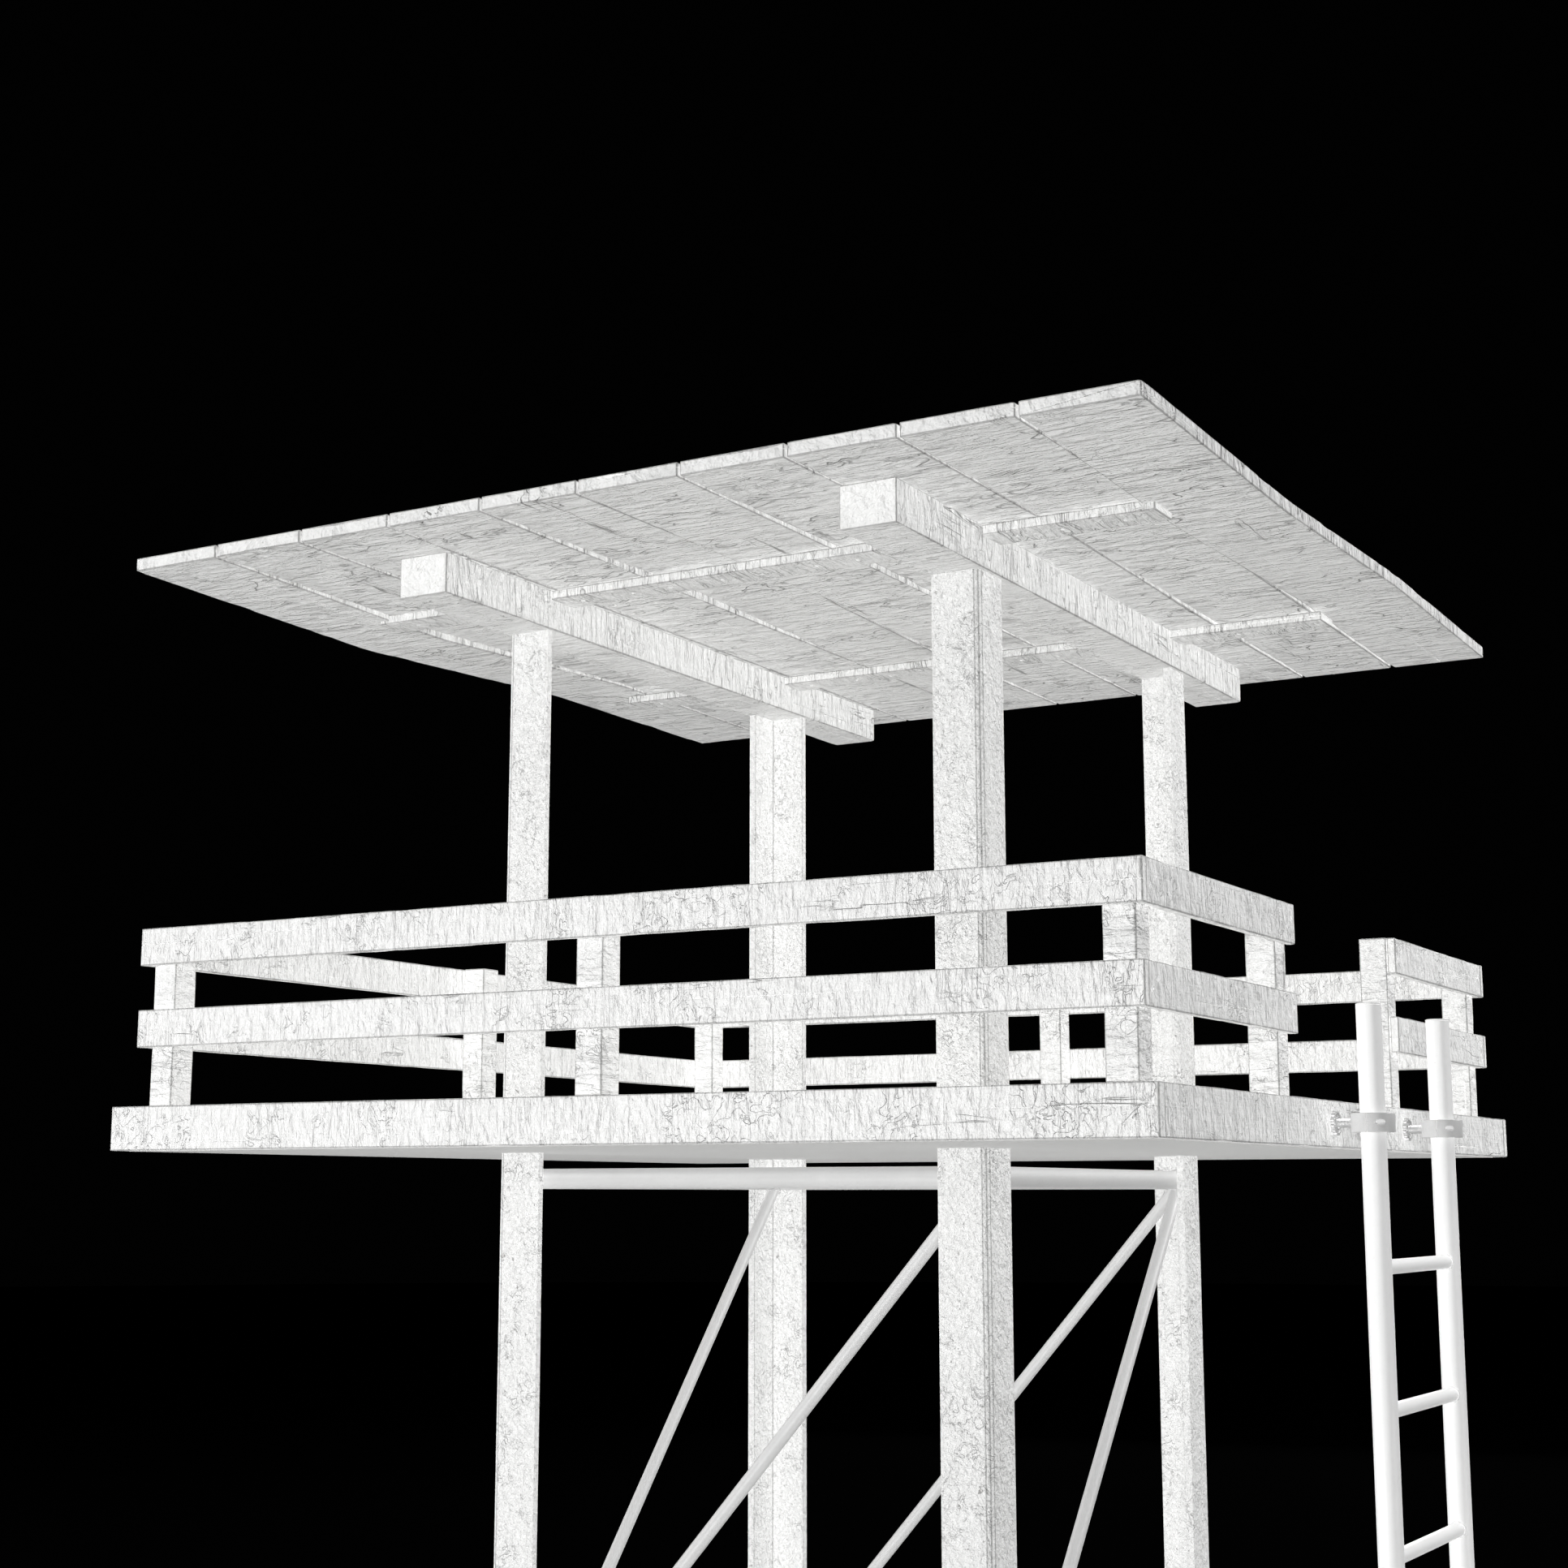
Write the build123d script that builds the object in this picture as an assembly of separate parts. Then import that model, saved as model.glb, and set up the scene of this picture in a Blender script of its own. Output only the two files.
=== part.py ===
"""Raised four-legged hunting platform: roof, railing, braced steel legs and a clamped ladder.

Millimetres, +Z up. The origin is on the ground, on the tower's centre line.
X runs along the front and +X is the ladder side. Y runs from the front to the rear.
"""
import os
from math import cos, pi, sin

from build123d import *

# Deck
DECK_SIDE = 2600.0
DECK_TOP = 1820.0
DECK_DEPTH = 104.0
RIM_THICK = 32.0
DECK_BOARD_THICK = 25.0
DECK_BOARD_COUNT = 18
DECK_BOARD_GAP = 3.0
SOFFIT_THICK = 9.0
JOIST_WIDTH = 32.0
INNER_JOIST_X = (0.0, 335.0)
OUTER_JOIST_X = 1000.0

# Legs: rolled steel angles with their outer corners on a square
LEG_OUTER = 654.0
LEG_WIDTH = 120.0
LEG_THICK = 20.0
LEG_HEEL_R = 17.0
LEG_SLOT_PLAY = 1.0
FOOT_SIDE = 240.0
FOOT_THICK = 12.0
FOOT_HOLE_PITCH = 180.0
FOOT_HOLE_R = 7.0

# Tube rings and diagonal braces
RING_R = 24.15
RING_WALL = 3.2
UPPER_RING_Z = 1654.0
LOWER_RING_Z = 240.0
BRACE_R = 16.0
BRACE_WALL = 2.6
BRACE_REACH = 622.5

# Roof
BEAM_X = 595.0
BEAM_WIDTH = 140.0
BEAM_LENGTH = 2154.0
BEAM_BOTTOM = 3009.0
BEAM_DEPTH = 102.0
BATTEN_WIDTH = 104.0
BATTEN_THICK = 26.0
BATTEN_Y = {"front": -600.0, "rear": 572.0}
ROOF_WIDTH = 2608.0
PLANK_COUNT = 10
PLANK_GAP = 4.0
PLANK_THICK = 35.0
PLANK_LENGTH = 2600.0
SAG_AT = -430.0
RISE_AT = 440.0
# Sag towards the front and rise towards the rear of each plank, left to right; below zero is the other way
PLANK_WARP = [(23, 11), (9, 14), (0, 0), (0, 0), (-17, -5), (-4, 1), (-17, 4), (-13, 0), (-10, 7), (12, 13)]

# Railing
RAIL_INSET = 35.0
RAIL_THICK = 23.5
RAIL_HEIGHT = 90.0
RAIL_BOTTOM = {"mid": 137.0, "top": 330.0}
STAKE_WIDTH = 70.0
GATE_FRONT_Y = -370.0
GATE_REAR_Y = 413.0
FRONT_STAKE_X = 9.5
REAR_STAKE_X = 7.0
LEFT_STAKE_Y = -11.0

# Ladder
LADDER_X = 1387.0
LADDER_Y = 20.0
STILE_PITCH = 563.0
STILE_R = 27.5
STILE_WALL = 3.0
STILE_TOP = 207.0
RUNG_R = 16.25
RUNG_WALL = 2.5
RUNG_PITCH = 300.0
TOP_RUNG_BELOW_DECK = 358.0
RUNG_COUNT = 5
CAP_THICK = 4.0
CAP_PLUG = 20.0
LADDER_FOOT_R = 34.0
LADDER_FOOT_TOP_R = 31.5
LADDER_FOOT_HEIGHT = 45.0
LADDER_FOOT_FLOOR = 8.0

# Ladder clamps
CLAMP_R = 47.0
CLAMP_HEIGHT = 41.0
CLAMP_BORE_PLAY = 0.3
CLAMP_SPLIT = 2.0
CLAMP_BELOW_DECK = 51.0
CLAMP_BOLT_Y = 37.5
CLAMP_BOLT_R = 4.0
CLAMP_BOLT_HEAD_R = 6.5
CLAMP_BOLT_HEAD = 8.0
CLAMP_HEAD_FROM_SPLIT = 10.0
CLAMP_BOLT_IN_INNER = 20.0
CLAMP_SOCKET_R = 3.6
CLAMP_SOCKET_DEPTH = 4.0
STUD_R = 10.0
STUD_INNER_X = 1240.0
STUD_IN_RING = 10.0
STUD_NUT_R = 17.3
STUD_NUT_THICK = 12.0
WHEEL_R = 23.5
WHEEL_LOBE_R = 4.0
WHEEL_LOBES = 12
WHEEL_THICK = 10.0
WHEEL_BORE_PLAY = 0.05
WHEEL_FACE_GAP = 0.3

# Fasteners
RAIL_SCREW_R = 3.0
RAIL_SCREW_HEAD_R = 7.0
RAIL_SCREW_HEAD = 3.5
RAIL_SCREW_IN_STAKE = 35.0
RAIL_SCREW_ASIDE = 15.0
FRONT_SCREW_RISE = 25.0
SIDE_SCREW_RISE = 10.0
WOOD_SCREW_R = 2.5
WOOD_SCREW_HEAD_R = 6.0
WOOD_SCREW_HEAD = 2.5
BATTEN_SCREW_LENGTH = 51.0
BATTEN_SCREW_PITCH = 150.0
STAKE_SCREW_LENGTH = 100.0
STAKE_SCREW_PITCH = 50.0
RIM_SCREW_LENGTH = 80.0
RIM_SCREW_PITCH = 30.0
TIE_SCREW_R = 4.0
TIE_SCREW_LENGTH = 76.0
TIE_SCREW_PITCH = 60.0
DOWEL_R = 5.0
DOWEL_IN_LEG = 40.0
DOWEL_IN_BEAM = 60.0
DOWEL_ALONG = 80.0
LEG_BOLT_R = 6.0
LEG_BOLT_HEX_R = 10.4
LEG_BOLT_HEAD = 8.0
LEG_BOLT_ALONG = (35.0, 87.0)

# Worked out from the above
HALF_DECK = DECK_SIDE / 2
SLAB_BOTTOM = DECK_TOP - DECK_DEPTH
BOARD_BOTTOM = DECK_TOP - DECK_BOARD_THICK
JOIST_BOTTOM = SLAB_BOTTOM + SOFFIT_THICK
INSIDE_RIM = HALF_DECK - RIM_THICK
LEG_INNER = LEG_OUTER - LEG_THICK
LEG_CENTRE = LEG_OUTER - LEG_WIDTH / 2
LEG_JOIST_X = LEG_OUTER + JOIST_WIDTH / 2
RING_AXIS = LEG_INNER - RING_R
BEAM_TOP = BEAM_BOTTOM + BEAM_DEPTH
BATTEN_BOTTOM = BEAM_TOP - BATTEN_THICK
RAIL_FACE = HALF_DECK - RAIL_INSET
STAKE_FACE = RAIL_FACE - RAIL_THICK
STAKE_CENTRE = STAKE_FACE - STAKE_WIDTH / 2
STAKE_TOP = DECK_TOP + RAIL_BOTTOM["top"] + RAIL_HEIGHT
CLAMP_Z = DECK_TOP - CLAMP_BELOW_DECK
CLAMP_BOLT_TIP = LADDER_X - CLAMP_BOLT_IN_INNER
CLAMP_BOLT_SEAT = LADDER_X + CLAMP_HEAD_FROM_SPLIT
STILE_Y = {"front": LADDER_Y - STILE_PITCH / 2, "rear": LADDER_Y + STILE_PITCH / 2}
CORNERS = {"front_left": 0, "front_right": 90, "rear_right": 180, "rear_left": 270}

# Centre X and Y of the railing's stakes
CORNER_STAKES = [(sx * STAKE_CENTRE, sy * STAKE_CENTRE) for sx in (-1, 1) for sy in (-1, 1)]
MID_STAKES = [(FRONT_STAKE_X, -STAKE_CENTRE), (REAR_STAKE_X, STAKE_CENTRE), (-STAKE_CENTRE, LEFT_STAKE_Y)]
GATE_STAKE_Y = (GATE_FRONT_Y - STAKE_WIDTH / 2, GATE_REAR_Y + STAKE_WIDTH / 2)
GATE_STAKES = [(STAKE_CENTRE, y) for y in GATE_STAKE_Y]


def block(x0, x1, y0, y1, z0, z1):
    """A box between two corners."""
    centre = Pos((x0 + x1) / 2, (y0 + y1) / 2, (z0 + z1) / 2)
    return centre * Box(x1 - x0, y1 - y0, z1 - z0)


def rod(start, end, radius):
    """A round bar from one point to another."""
    line = Vector(*end) - Vector(*start)
    return extrude(Plane(origin=start, z_dir=line) * Circle(radius), amount=line.length)


def tube(start, end, radius, wall):
    """A round tube from one point to another."""
    return rod(start, end, radius) - rod(start, end, radius - wall)


def hexagon(start, end, radius):
    """A six-sided bar from one point to another."""
    line = Vector(*end) - Vector(*start)
    return extrude(Plane(origin=start, z_dir=line) * RegularPolygon(radius, 6), amount=line.length)


def largest(shape):
    """The biggest solid of a shape."""
    return max(shape.solids(), key=lambda solid: solid.volume)


def cut(shape, tools):
    """The shape with every tool taken out of it."""
    for tool in tools:
        shape = shape - tool
    return shape


def screw(start, direction, length, radius, head_radius, head):
    """A screw along direction, its head sunk flush into the face at start."""
    origin = Vector(*start)
    way = Vector(*direction)
    shank = rod(start, tuple(origin + way * length), radius)
    return shank + rod(start, tuple(origin + way * head), head_radius)


def wood_screw(start, direction, length):
    """A screw of the size used for the deck and battens."""
    return screw(start, direction, length, WOOD_SCREW_R, WOOD_SCREW_HEAD_R, WOOD_SCREW_HEAD)


# Legs and feet

def leg_prism(bottom, top, play=0.0):
    """The front left leg's angle section, extruded. Play makes it bigger all round."""
    outer = -LEG_OUTER - play
    inner = -LEG_INNER + play
    toe = outer + LEG_WIDTH + 2 * play
    corners = [(outer, outer), (toe, outer), (toe, inner), (inner, inner), (inner, toe), (outer, toe)]
    section = make_face(Polyline(*corners, close=True))
    heel = section.vertices().sort_by_distance((outer, outer, 0))[0]
    return Pos(0, 0, bottom) * extrude(fillet(heel, LEG_HEEL_R + play), amount=top - bottom)


def leg_dowels():
    """Two pins that stand in the top of the front left leg and hold the roof beam."""
    mid_wall = -LEG_OUTER + LEG_THICK / 2
    along = -LEG_OUTER + DOWEL_ALONG
    low, high = BEAM_BOTTOM - DOWEL_IN_LEG, BEAM_BOTTOM + DOWEL_IN_BEAM
    return [rod((x, y, low), (x, y, high), DOWEL_R) for x, y in ((mid_wall, along), (along, mid_wall))]


def leg_bolts():
    """The bolts that tie the left legs to the joist beside them, for the front left leg."""
    height = (JOIST_BOTTOM + BOARD_BOTTOM) / 2
    head_face = -LEG_OUTER - JOIST_WIDTH
    bolts = []
    for along in LEG_BOLT_ALONG:
        y = -LEG_OUTER + along
        shank = rod((head_face, y, height), (-LEG_INNER, y, height), LEG_BOLT_R)
        head = hexagon((head_face - LEG_BOLT_HEAD, y, height), (head_face, y, height), LEG_BOLT_HEX_R)
        nut = hexagon((-LEG_INNER, y, height), (-LEG_INNER + LEG_BOLT_HEAD, y, height), LEG_BOLT_HEX_R)
        bolts.append(shank + head + nut)
    return bolts


def at_four_legs(solids):
    """Front left solids mirrored to the other three legs."""
    left = solids + [mirror(solid, Plane.XZ) for solid in solids]
    return left + [mirror(solid, Plane.YZ) for solid in left]


def legs(dowels, bolts):
    """The four angle legs, bored for their dowels and bolts."""
    blank = leg_prism(FOOT_THICK, BEAM_BOTTOM)
    return {f"leg_{name}": cut(Rot(0, 0, turn) * blank, dowels + bolts) for name, turn in CORNERS.items()}


def foot_plates():
    """Square plates under the legs, each with four anchor holes."""
    plate = Box(FOOT_SIDE, FOOT_SIDE, FOOT_THICK)
    half = FOOT_HOLE_PITCH / 2
    for x in (-half, half):
        for y in (-half, half):
            plate -= Pos(x, y, 0) * Cylinder(FOOT_HOLE_R, FOOT_THICK)
    front_left = Pos(-LEG_CENTRE, -LEG_CENTRE, FOOT_THICK / 2) * plate
    return [Rot(0, 0, turn) * front_left for turn in CORNERS.values()]


# Rings and braces

def ring_solids(height):
    """Outer cylinders of one ring's tubes: front and rear first, then the two sides."""
    across = [rod((-LEG_INNER, y, height), (LEG_INNER, y, height), RING_R) for y in (-RING_AXIS, RING_AXIS)]
    along = [rod((x, -RING_AXIS, height), (x, RING_AXIS, height), RING_R) for x in (-RING_AXIS, RING_AXIS)]
    return across, along


def ring(height):
    """One square ring: two tubes between the legs and two coped between those."""
    across, _ = ring_solids(height)
    made = {}
    for name, y in (("front", -RING_AXIS), ("rear", RING_AXIS)):
        made[name] = tube((-LEG_INNER, y, height), (LEG_INNER, y, height), RING_R, RING_WALL)
    for name, x in (("left", -RING_AXIS), ("right", RING_AXIS)):
        side = tube((x, -RING_AXIS, height), (x, RING_AXIS, height), RING_R, RING_WALL)
        made[name] = largest(cut(side, across))
    return made


def braces():
    """One diagonal tube on each side, coped to the rings and legs at both ends.

    The front and rear braces rise to the right, the side braces rise to the rear.
    A side brace is also coped to the brace that it meets.
    """
    stops = [Rot(0, 0, turn) * leg_prism(FOOT_THICK, BEAM_BOTTOM) for turn in CORNERS.values()]
    for height in (UPPER_RING_Z, LOWER_RING_Z):
        across, along = ring_solids(height)
        stops += across + along
    runs = {
        "front": ((-BRACE_REACH, -RING_AXIS), (BRACE_REACH, -RING_AXIS)),
        "rear": ((-BRACE_REACH, RING_AXIS), (BRACE_REACH, RING_AXIS)),
        "left": ((-RING_AXIS, -BRACE_REACH), (-RING_AXIS, BRACE_REACH)),
        "right": ((RING_AXIS, -BRACE_REACH), (RING_AXIS, BRACE_REACH)),
    }
    made = {}
    for name, (low, high) in runs.items():
        low_end, high_end = (*low, LOWER_RING_Z), (*high, UPPER_RING_Z)
        made[f"brace_{name}"] = largest(cut(tube(low_end, high_end, BRACE_R, BRACE_WALL), stops))
        stops.append(rod(low_end, high_end, BRACE_R))
    return made


# Deck

def leg_slots():
    """The holes that the four legs need through the deck."""
    slot = leg_prism(SLAB_BOTTOM - FOOT_THICK, DECK_TOP + FOOT_THICK, LEG_SLOT_PLAY)
    return [Rot(0, 0, turn) * slot for turn in CORNERS.values()]


def rims():
    """The four edge boards: front and rear run right across, the sides fit between them."""
    low, high = SLAB_BOTTOM, DECK_TOP
    return {
        "rim_front": block(-HALF_DECK, HALF_DECK, -HALF_DECK, -INSIDE_RIM, low, high),
        "rim_rear": block(-HALF_DECK, HALF_DECK, INSIDE_RIM, HALF_DECK, low, high),
        "rim_left": block(-HALF_DECK, -INSIDE_RIM, -INSIDE_RIM, INSIDE_RIM, low, high),
        "rim_right": block(INSIDE_RIM, HALF_DECK, -INSIDE_RIM, INSIDE_RIM, low, high),
    }


def joist_centres():
    """Centre X of every joist, left to right."""
    right = [*INNER_JOIST_X, LEG_JOIST_X, OUTER_JOIST_X]
    return sorted({sign * x for x in right for sign in (-1, 1)})


def joists(bolts):
    """Joists from the front rim to the rear rim, bored for the leg bolts."""
    half = JOIST_WIDTH / 2
    made = []
    for x in joist_centres():
        joist = block(x - half, x + half, -INSIDE_RIM, INSIDE_RIM, JOIST_BOTTOM, BOARD_BOTTOM)
        made.append(cut(joist, bolts) if abs(x) == LEG_JOIST_X else joist)
    return made


def deck_boards(holes):
    """Boards across the joists, cut round the legs."""
    pitch = 2 * INSIDE_RIM / DECK_BOARD_COUNT
    made = []
    for index in range(DECK_BOARD_COUNT):
        start = -INSIDE_RIM + index * pitch
        near_edge, far_edge = start + DECK_BOARD_GAP / 2, start + pitch - DECK_BOARD_GAP / 2
        board = block(-INSIDE_RIM, INSIDE_RIM, near_edge, far_edge, BOARD_BOTTOM, DECK_TOP)
        made.append(largest(cut(board, holes)))
    return made


def soffit():
    """The flat sheet that closes the deck from below."""
    sheet = block(-INSIDE_RIM, INSIDE_RIM, -INSIDE_RIM, INSIDE_RIM, SLAB_BOTTOM, JOIST_BOTTOM)
    return cut(sheet, leg_slots())


def rim_screws():
    """Two screws through the front and rear rims into the end of every joist."""
    middle = (JOIST_BOTTOM + BOARD_BOTTOM) / 2
    made = []
    for x in joist_centres():
        for sign in (-1, 1):
            for z in (middle - RIM_SCREW_PITCH / 2, middle + RIM_SCREW_PITCH / 2):
                made.append(wood_screw((x, sign * HALF_DECK, z), (0, -sign, 0), RIM_SCREW_LENGTH))
    return made


# Railing

def stakes(places):
    """Square stakes that stand on the deck."""
    half = STAKE_WIDTH / 2
    return [block(x - half, x + half, y - half, y + half, DECK_TOP, STAKE_TOP) for x, y in places]


def rail_runs():
    """Every rail's name, plan outline and the side it faces."""
    face, back = RAIL_FACE, STAKE_FACE
    return {
        "front": (-face, face, -face, -back),
        "rear": (-face, face, back, face),
        "left": (-face, -back, -back, back),
        "right_front": (back, face, -back, GATE_FRONT_Y),
        "right_rear": (back, face, GATE_REAR_Y, back),
    }


def rails(screws):
    """The top and middle rails, bored for their screws."""
    made = {}
    for side, (x0, x1, y0, y1) in rail_runs().items():
        for level, rise in RAIL_BOTTOM.items():
            low = DECK_TOP + rise
            board = block(x0, x1, y0, y1, low, low + RAIL_HEIGHT)
            made[f"rail_{side}_{level}"] = cut(board, near(screws, x0, x1, y0, y1))
    return made


def near(solids, x0, x1, y0, y1):
    """The solids whose box overlaps a plan outline."""
    kept = []
    for solid in solids:
        box = solid.bounding_box()
        if box.max.X > x0 and box.min.X < x1 and box.max.Y > y0 and box.min.Y < y1:
            kept.append(solid)
    return kept


def rail_screws():
    """Two screws through each rail into each stake that it crosses."""
    made = []
    for x, y in CORNER_STAKES + MID_STAKES + GATE_STAKES:
        for bottom in RAIL_BOTTOM.values():
            middle = DECK_TOP + bottom + RAIL_HEIGHT / 2
            for sign in (-1, 1):
                aside = sign * RAIL_SCREW_ASIDE
                if abs(y) == STAKE_CENTRE:
                    out = y / STAKE_CENTRE
                    start = (x + aside, out * RAIL_FACE, middle + sign * FRONT_SCREW_RISE)
                    made.append(rail_screw(start, (0, -out, 0)))
                if abs(x) == STAKE_CENTRE:
                    out = x / STAKE_CENTRE
                    start = (out * RAIL_FACE, y + aside, middle + sign * SIDE_SCREW_RISE)
                    made.append(rail_screw(start, (-out, 0, 0)))
    return made


def rail_screw(start, direction):
    """A screw from a rail's face into its stake."""
    length = RAIL_THICK + RAIL_SCREW_IN_STAKE
    return screw(start, direction, length, RAIL_SCREW_R, RAIL_SCREW_HEAD_R, RAIL_SCREW_HEAD)


def stake_screws():
    """Two screws up through the deck into each stake."""
    made = []
    for x, y in CORNER_STAKES + MID_STAKES + GATE_STAKES:
        for sign in (-1, 1):
            start = (x + sign * STAKE_SCREW_PITCH / 2, y, BOARD_BOTTOM)
            made.append(wood_screw(start, (0, 0, 1), STAKE_SCREW_LENGTH))
    return made


# Roof

def batten_blanks():
    """The battens' outer boxes, by name."""
    half, long = BATTEN_WIDTH / 2, BEAM_LENGTH / 2
    made = {}
    for name, y in BATTEN_Y.items():
        made[name] = block(-long, long, y - half, y + half, BATTEN_BOTTOM, BEAM_TOP)
    return made


def battens(screws):
    """The two battens under the planks, bored for their screws."""
    half = BATTEN_WIDTH / 2
    made = {}
    for name, strip in batten_blanks().items():
        y = BATTEN_Y[name]
        own = near(screws, -BEAM_LENGTH, BEAM_LENGTH, y - half, y + half)
        made[f"roof_batten_{name}"] = cut(strip, own)
    return made


def beams(fasteners):
    """The two roof beams, notched for the battens."""
    half = BEAM_WIDTH / 2
    notches = list(batten_blanks().values())
    made = {}
    for name, x in (("left", -BEAM_X), ("right", BEAM_X)):
        beam = block(x - half, x + half, -BEAM_LENGTH / 2, BEAM_LENGTH / 2, BEAM_BOTTOM, BEAM_TOP)
        own = near(fasteners, x - half, x + half, -BEAM_LENGTH, BEAM_LENGTH)
        made[f"roof_beam_{name}"] = cut(beam, notches + own)
    return made


def plank(left, right, sag, rise):
    """A roof plank, bent by its sag towards the front and by its rise towards the rear."""
    half = PLANK_LENGTH / 2
    if sag or rise:
        places = ((-half, 0), (SAG_AT, -sag), (RISE_AT, rise), (half, 0))
        low = [(left, y, BEAM_TOP + lift) for y, lift in places]
        high = [(left, y, BEAM_TOP + PLANK_THICK + lift) for y, lift in reversed(places)]
        return extrude(make_face(Polyline(*low, *high, close=True)), amount=right - left, dir=(1, 0, 0))
    return block(left, right, -half, half, BEAM_TOP, BEAM_TOP + PLANK_THICK)


def planks(screws):
    """The roof planks, let in over the battens and bored for their screws."""
    pitch = ROOF_WIDTH / PLANK_COUNT
    side_play = PLANK_GAP / 2
    made = []
    for index, (sag, rise) in enumerate(PLANK_WARP):
        left = -ROOF_WIDTH / 2 + index * pitch + (side_play if index else 0)
        right = -ROOF_WIDTH / 2 + (index + 1) * pitch - (side_play if index < PLANK_COUNT - 1 else 0)
        tools = list(batten_blanks().values()) + near(screws, left, right, -HALF_DECK, HALF_DECK)
        made.append(largest(cut(plank(left, right, sag, rise), tools)))
    return made


def batten_screws():
    """Two screws up through each batten into each plank that it reaches."""
    pitch = ROOF_WIDTH / PLANK_COUNT
    made = []
    for y in BATTEN_Y.values():
        for index in range(1, PLANK_COUNT - 1):
            centre = -ROOF_WIDTH / 2 + (index + 0.5) * pitch
            for sign in (-1, 1):
                x = centre + sign * BATTEN_SCREW_PITCH / 2
                if abs(abs(x) - BEAM_X) > BEAM_WIDTH / 2 + WOOD_SCREW_HEAD_R:
                    made.append(wood_screw((x, y, BATTEN_BOTTOM), (0, 0, 1), BATTEN_SCREW_LENGTH))
    return made


def tie_screws():
    """Two flush pins down through each batten into each beam."""
    made = []
    for x in (-BEAM_X, BEAM_X):
        for y in BATTEN_Y.values():
            for sign in (-1, 1):
                place = y + sign * TIE_SCREW_PITCH / 2
                made.append(rod((x, place, BEAM_TOP - TIE_SCREW_LENGTH), (x, place, BEAM_TOP), TIE_SCREW_R))
    return made


# Ladder

def stiles():
    """The two upright tubes."""
    made = {}
    for name, y in STILE_Y.items():
        bottom = (LADDER_X, y, LADDER_FOOT_FLOOR)
        top = (LADDER_X, y, DECK_TOP + STILE_TOP - CAP_THICK)
        made[f"ladder_stile_{name}"] = tube(bottom, top, STILE_R, STILE_WALL)
    return made


def rungs():
    """The rungs, coped to the stiles."""
    front, rear = STILE_Y["front"], STILE_Y["rear"]
    posts = [rod((LADDER_X, y, 0), (LADDER_X, y, DECK_TOP), STILE_R) for y in (front, rear)]
    made = []
    for index in range(RUNG_COUNT):
        z = DECK_TOP - TOP_RUNG_BELOW_DECK - index * RUNG_PITCH
        bar = tube((LADDER_X, front, z), (LADDER_X, rear, z), RUNG_R, RUNG_WALL)
        made.append(largest(cut(bar, posts)))
    return made


def stile_caps():
    """Plugs that close the stiles' tops."""
    made = []
    base = DECK_TOP + STILE_TOP - CAP_THICK
    for y in STILE_Y.values():
        disc = rod((LADDER_X, y, base), (LADDER_X, y, base + CAP_THICK), STILE_R)
        plug = rod((LADDER_X, y, base - CAP_PLUG), (LADDER_X, y, base), STILE_R - STILE_WALL)
        made.append(chamfer(disc.edges().sort_by(Axis.Z)[-1], CAP_THICK / 3) + plug)
    return made


def ladder_feet():
    """Tapered rubber cups under the stiles."""
    made = []
    cone = Cone(LADDER_FOOT_R, LADDER_FOOT_TOP_R, LADDER_FOOT_HEIGHT)
    for y in STILE_Y.values():
        socket = rod((LADDER_X, y, LADDER_FOOT_FLOOR), (LADDER_X, y, LADDER_FOOT_HEIGHT), STILE_R)
        made.append(Pos(LADDER_X, y, LADDER_FOOT_HEIGHT / 2) * cone - socket)
    return made


# Ladder clamps

def clamp_bolts(y):
    """The two socket bolts of one clamp."""
    made = []
    end = CLAMP_BOLT_SEAT + CLAMP_BOLT_HEAD
    stations = (CLAMP_BOLT_TIP, CLAMP_BOLT_SEAT, end - CLAMP_SOCKET_DEPTH, end)
    for sign in (-1, 1):
        tip, seat, floor, top = [(x, y + sign * CLAMP_BOLT_Y, CLAMP_Z) for x in stations]
        bolt = rod(tip, seat, CLAMP_BOLT_R) + rod(seat, top, CLAMP_BOLT_HEAD_R)
        made.append(bolt - hexagon(floor, top, CLAMP_SOCKET_R))
    return made


def clamp_stud(y):
    """The threaded rod that carries one clamp from the deck's edge."""
    return rod((STUD_INNER_X, y, CLAMP_Z), (LADDER_X - CLAMP_R + STUD_IN_RING, y, CLAMP_Z), STUD_R)


def stud_nut(y):
    """The nut that holds a stud behind the rim."""
    nut = hexagon((INSIDE_RIM - STUD_NUT_THICK, y, CLAMP_Z), (INSIDE_RIM, y, CLAMP_Z), STUD_NUT_R)
    return nut - clamp_stud(y)


def clamp(name, y):
    """One clamp: an inner half, an outer half and the lock wheel."""
    low, high = CLAMP_Z - CLAMP_HEIGHT / 2, CLAMP_Z + CLAMP_HEIGHT / 2
    band = rod((LADDER_X, y, low), (LADDER_X, y, high), CLAMP_R)
    band -= rod((LADDER_X, y, low), (LADDER_X, y, high), STILE_R + CLAMP_BORE_PLAY)
    bores = []
    stations = (CLAMP_BOLT_TIP, CLAMP_BOLT_SEAT, LADDER_X + CLAMP_R)
    for sign in (-1, 1):
        tip, seat, mouth = [(x, y + sign * CLAMP_BOLT_Y, CLAMP_Z) for x in stations]
        bores += [rod(tip, mouth, CLAMP_BOLT_R), rod(seat, mouth, CLAMP_BOLT_HEAD_R)]
    half_split = CLAMP_SPLIT / 2
    inner_side = block(LADDER_X - CLAMP_R, LADDER_X - half_split, y - CLAMP_R, y + CLAMP_R, low, high)
    outer_side = block(LADDER_X + half_split, LADDER_X + CLAMP_R, y - CLAMP_R, y + CLAMP_R, low, high)
    return {
        f"clamp_inner_{name}": largest(cut(band & inner_side, bores + [clamp_stud(y)])),
        f"clamp_outer_{name}": largest(cut(band & outer_side, bores)),
        f"lock_wheel_{name}": lock_wheel(y),
    }


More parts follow.
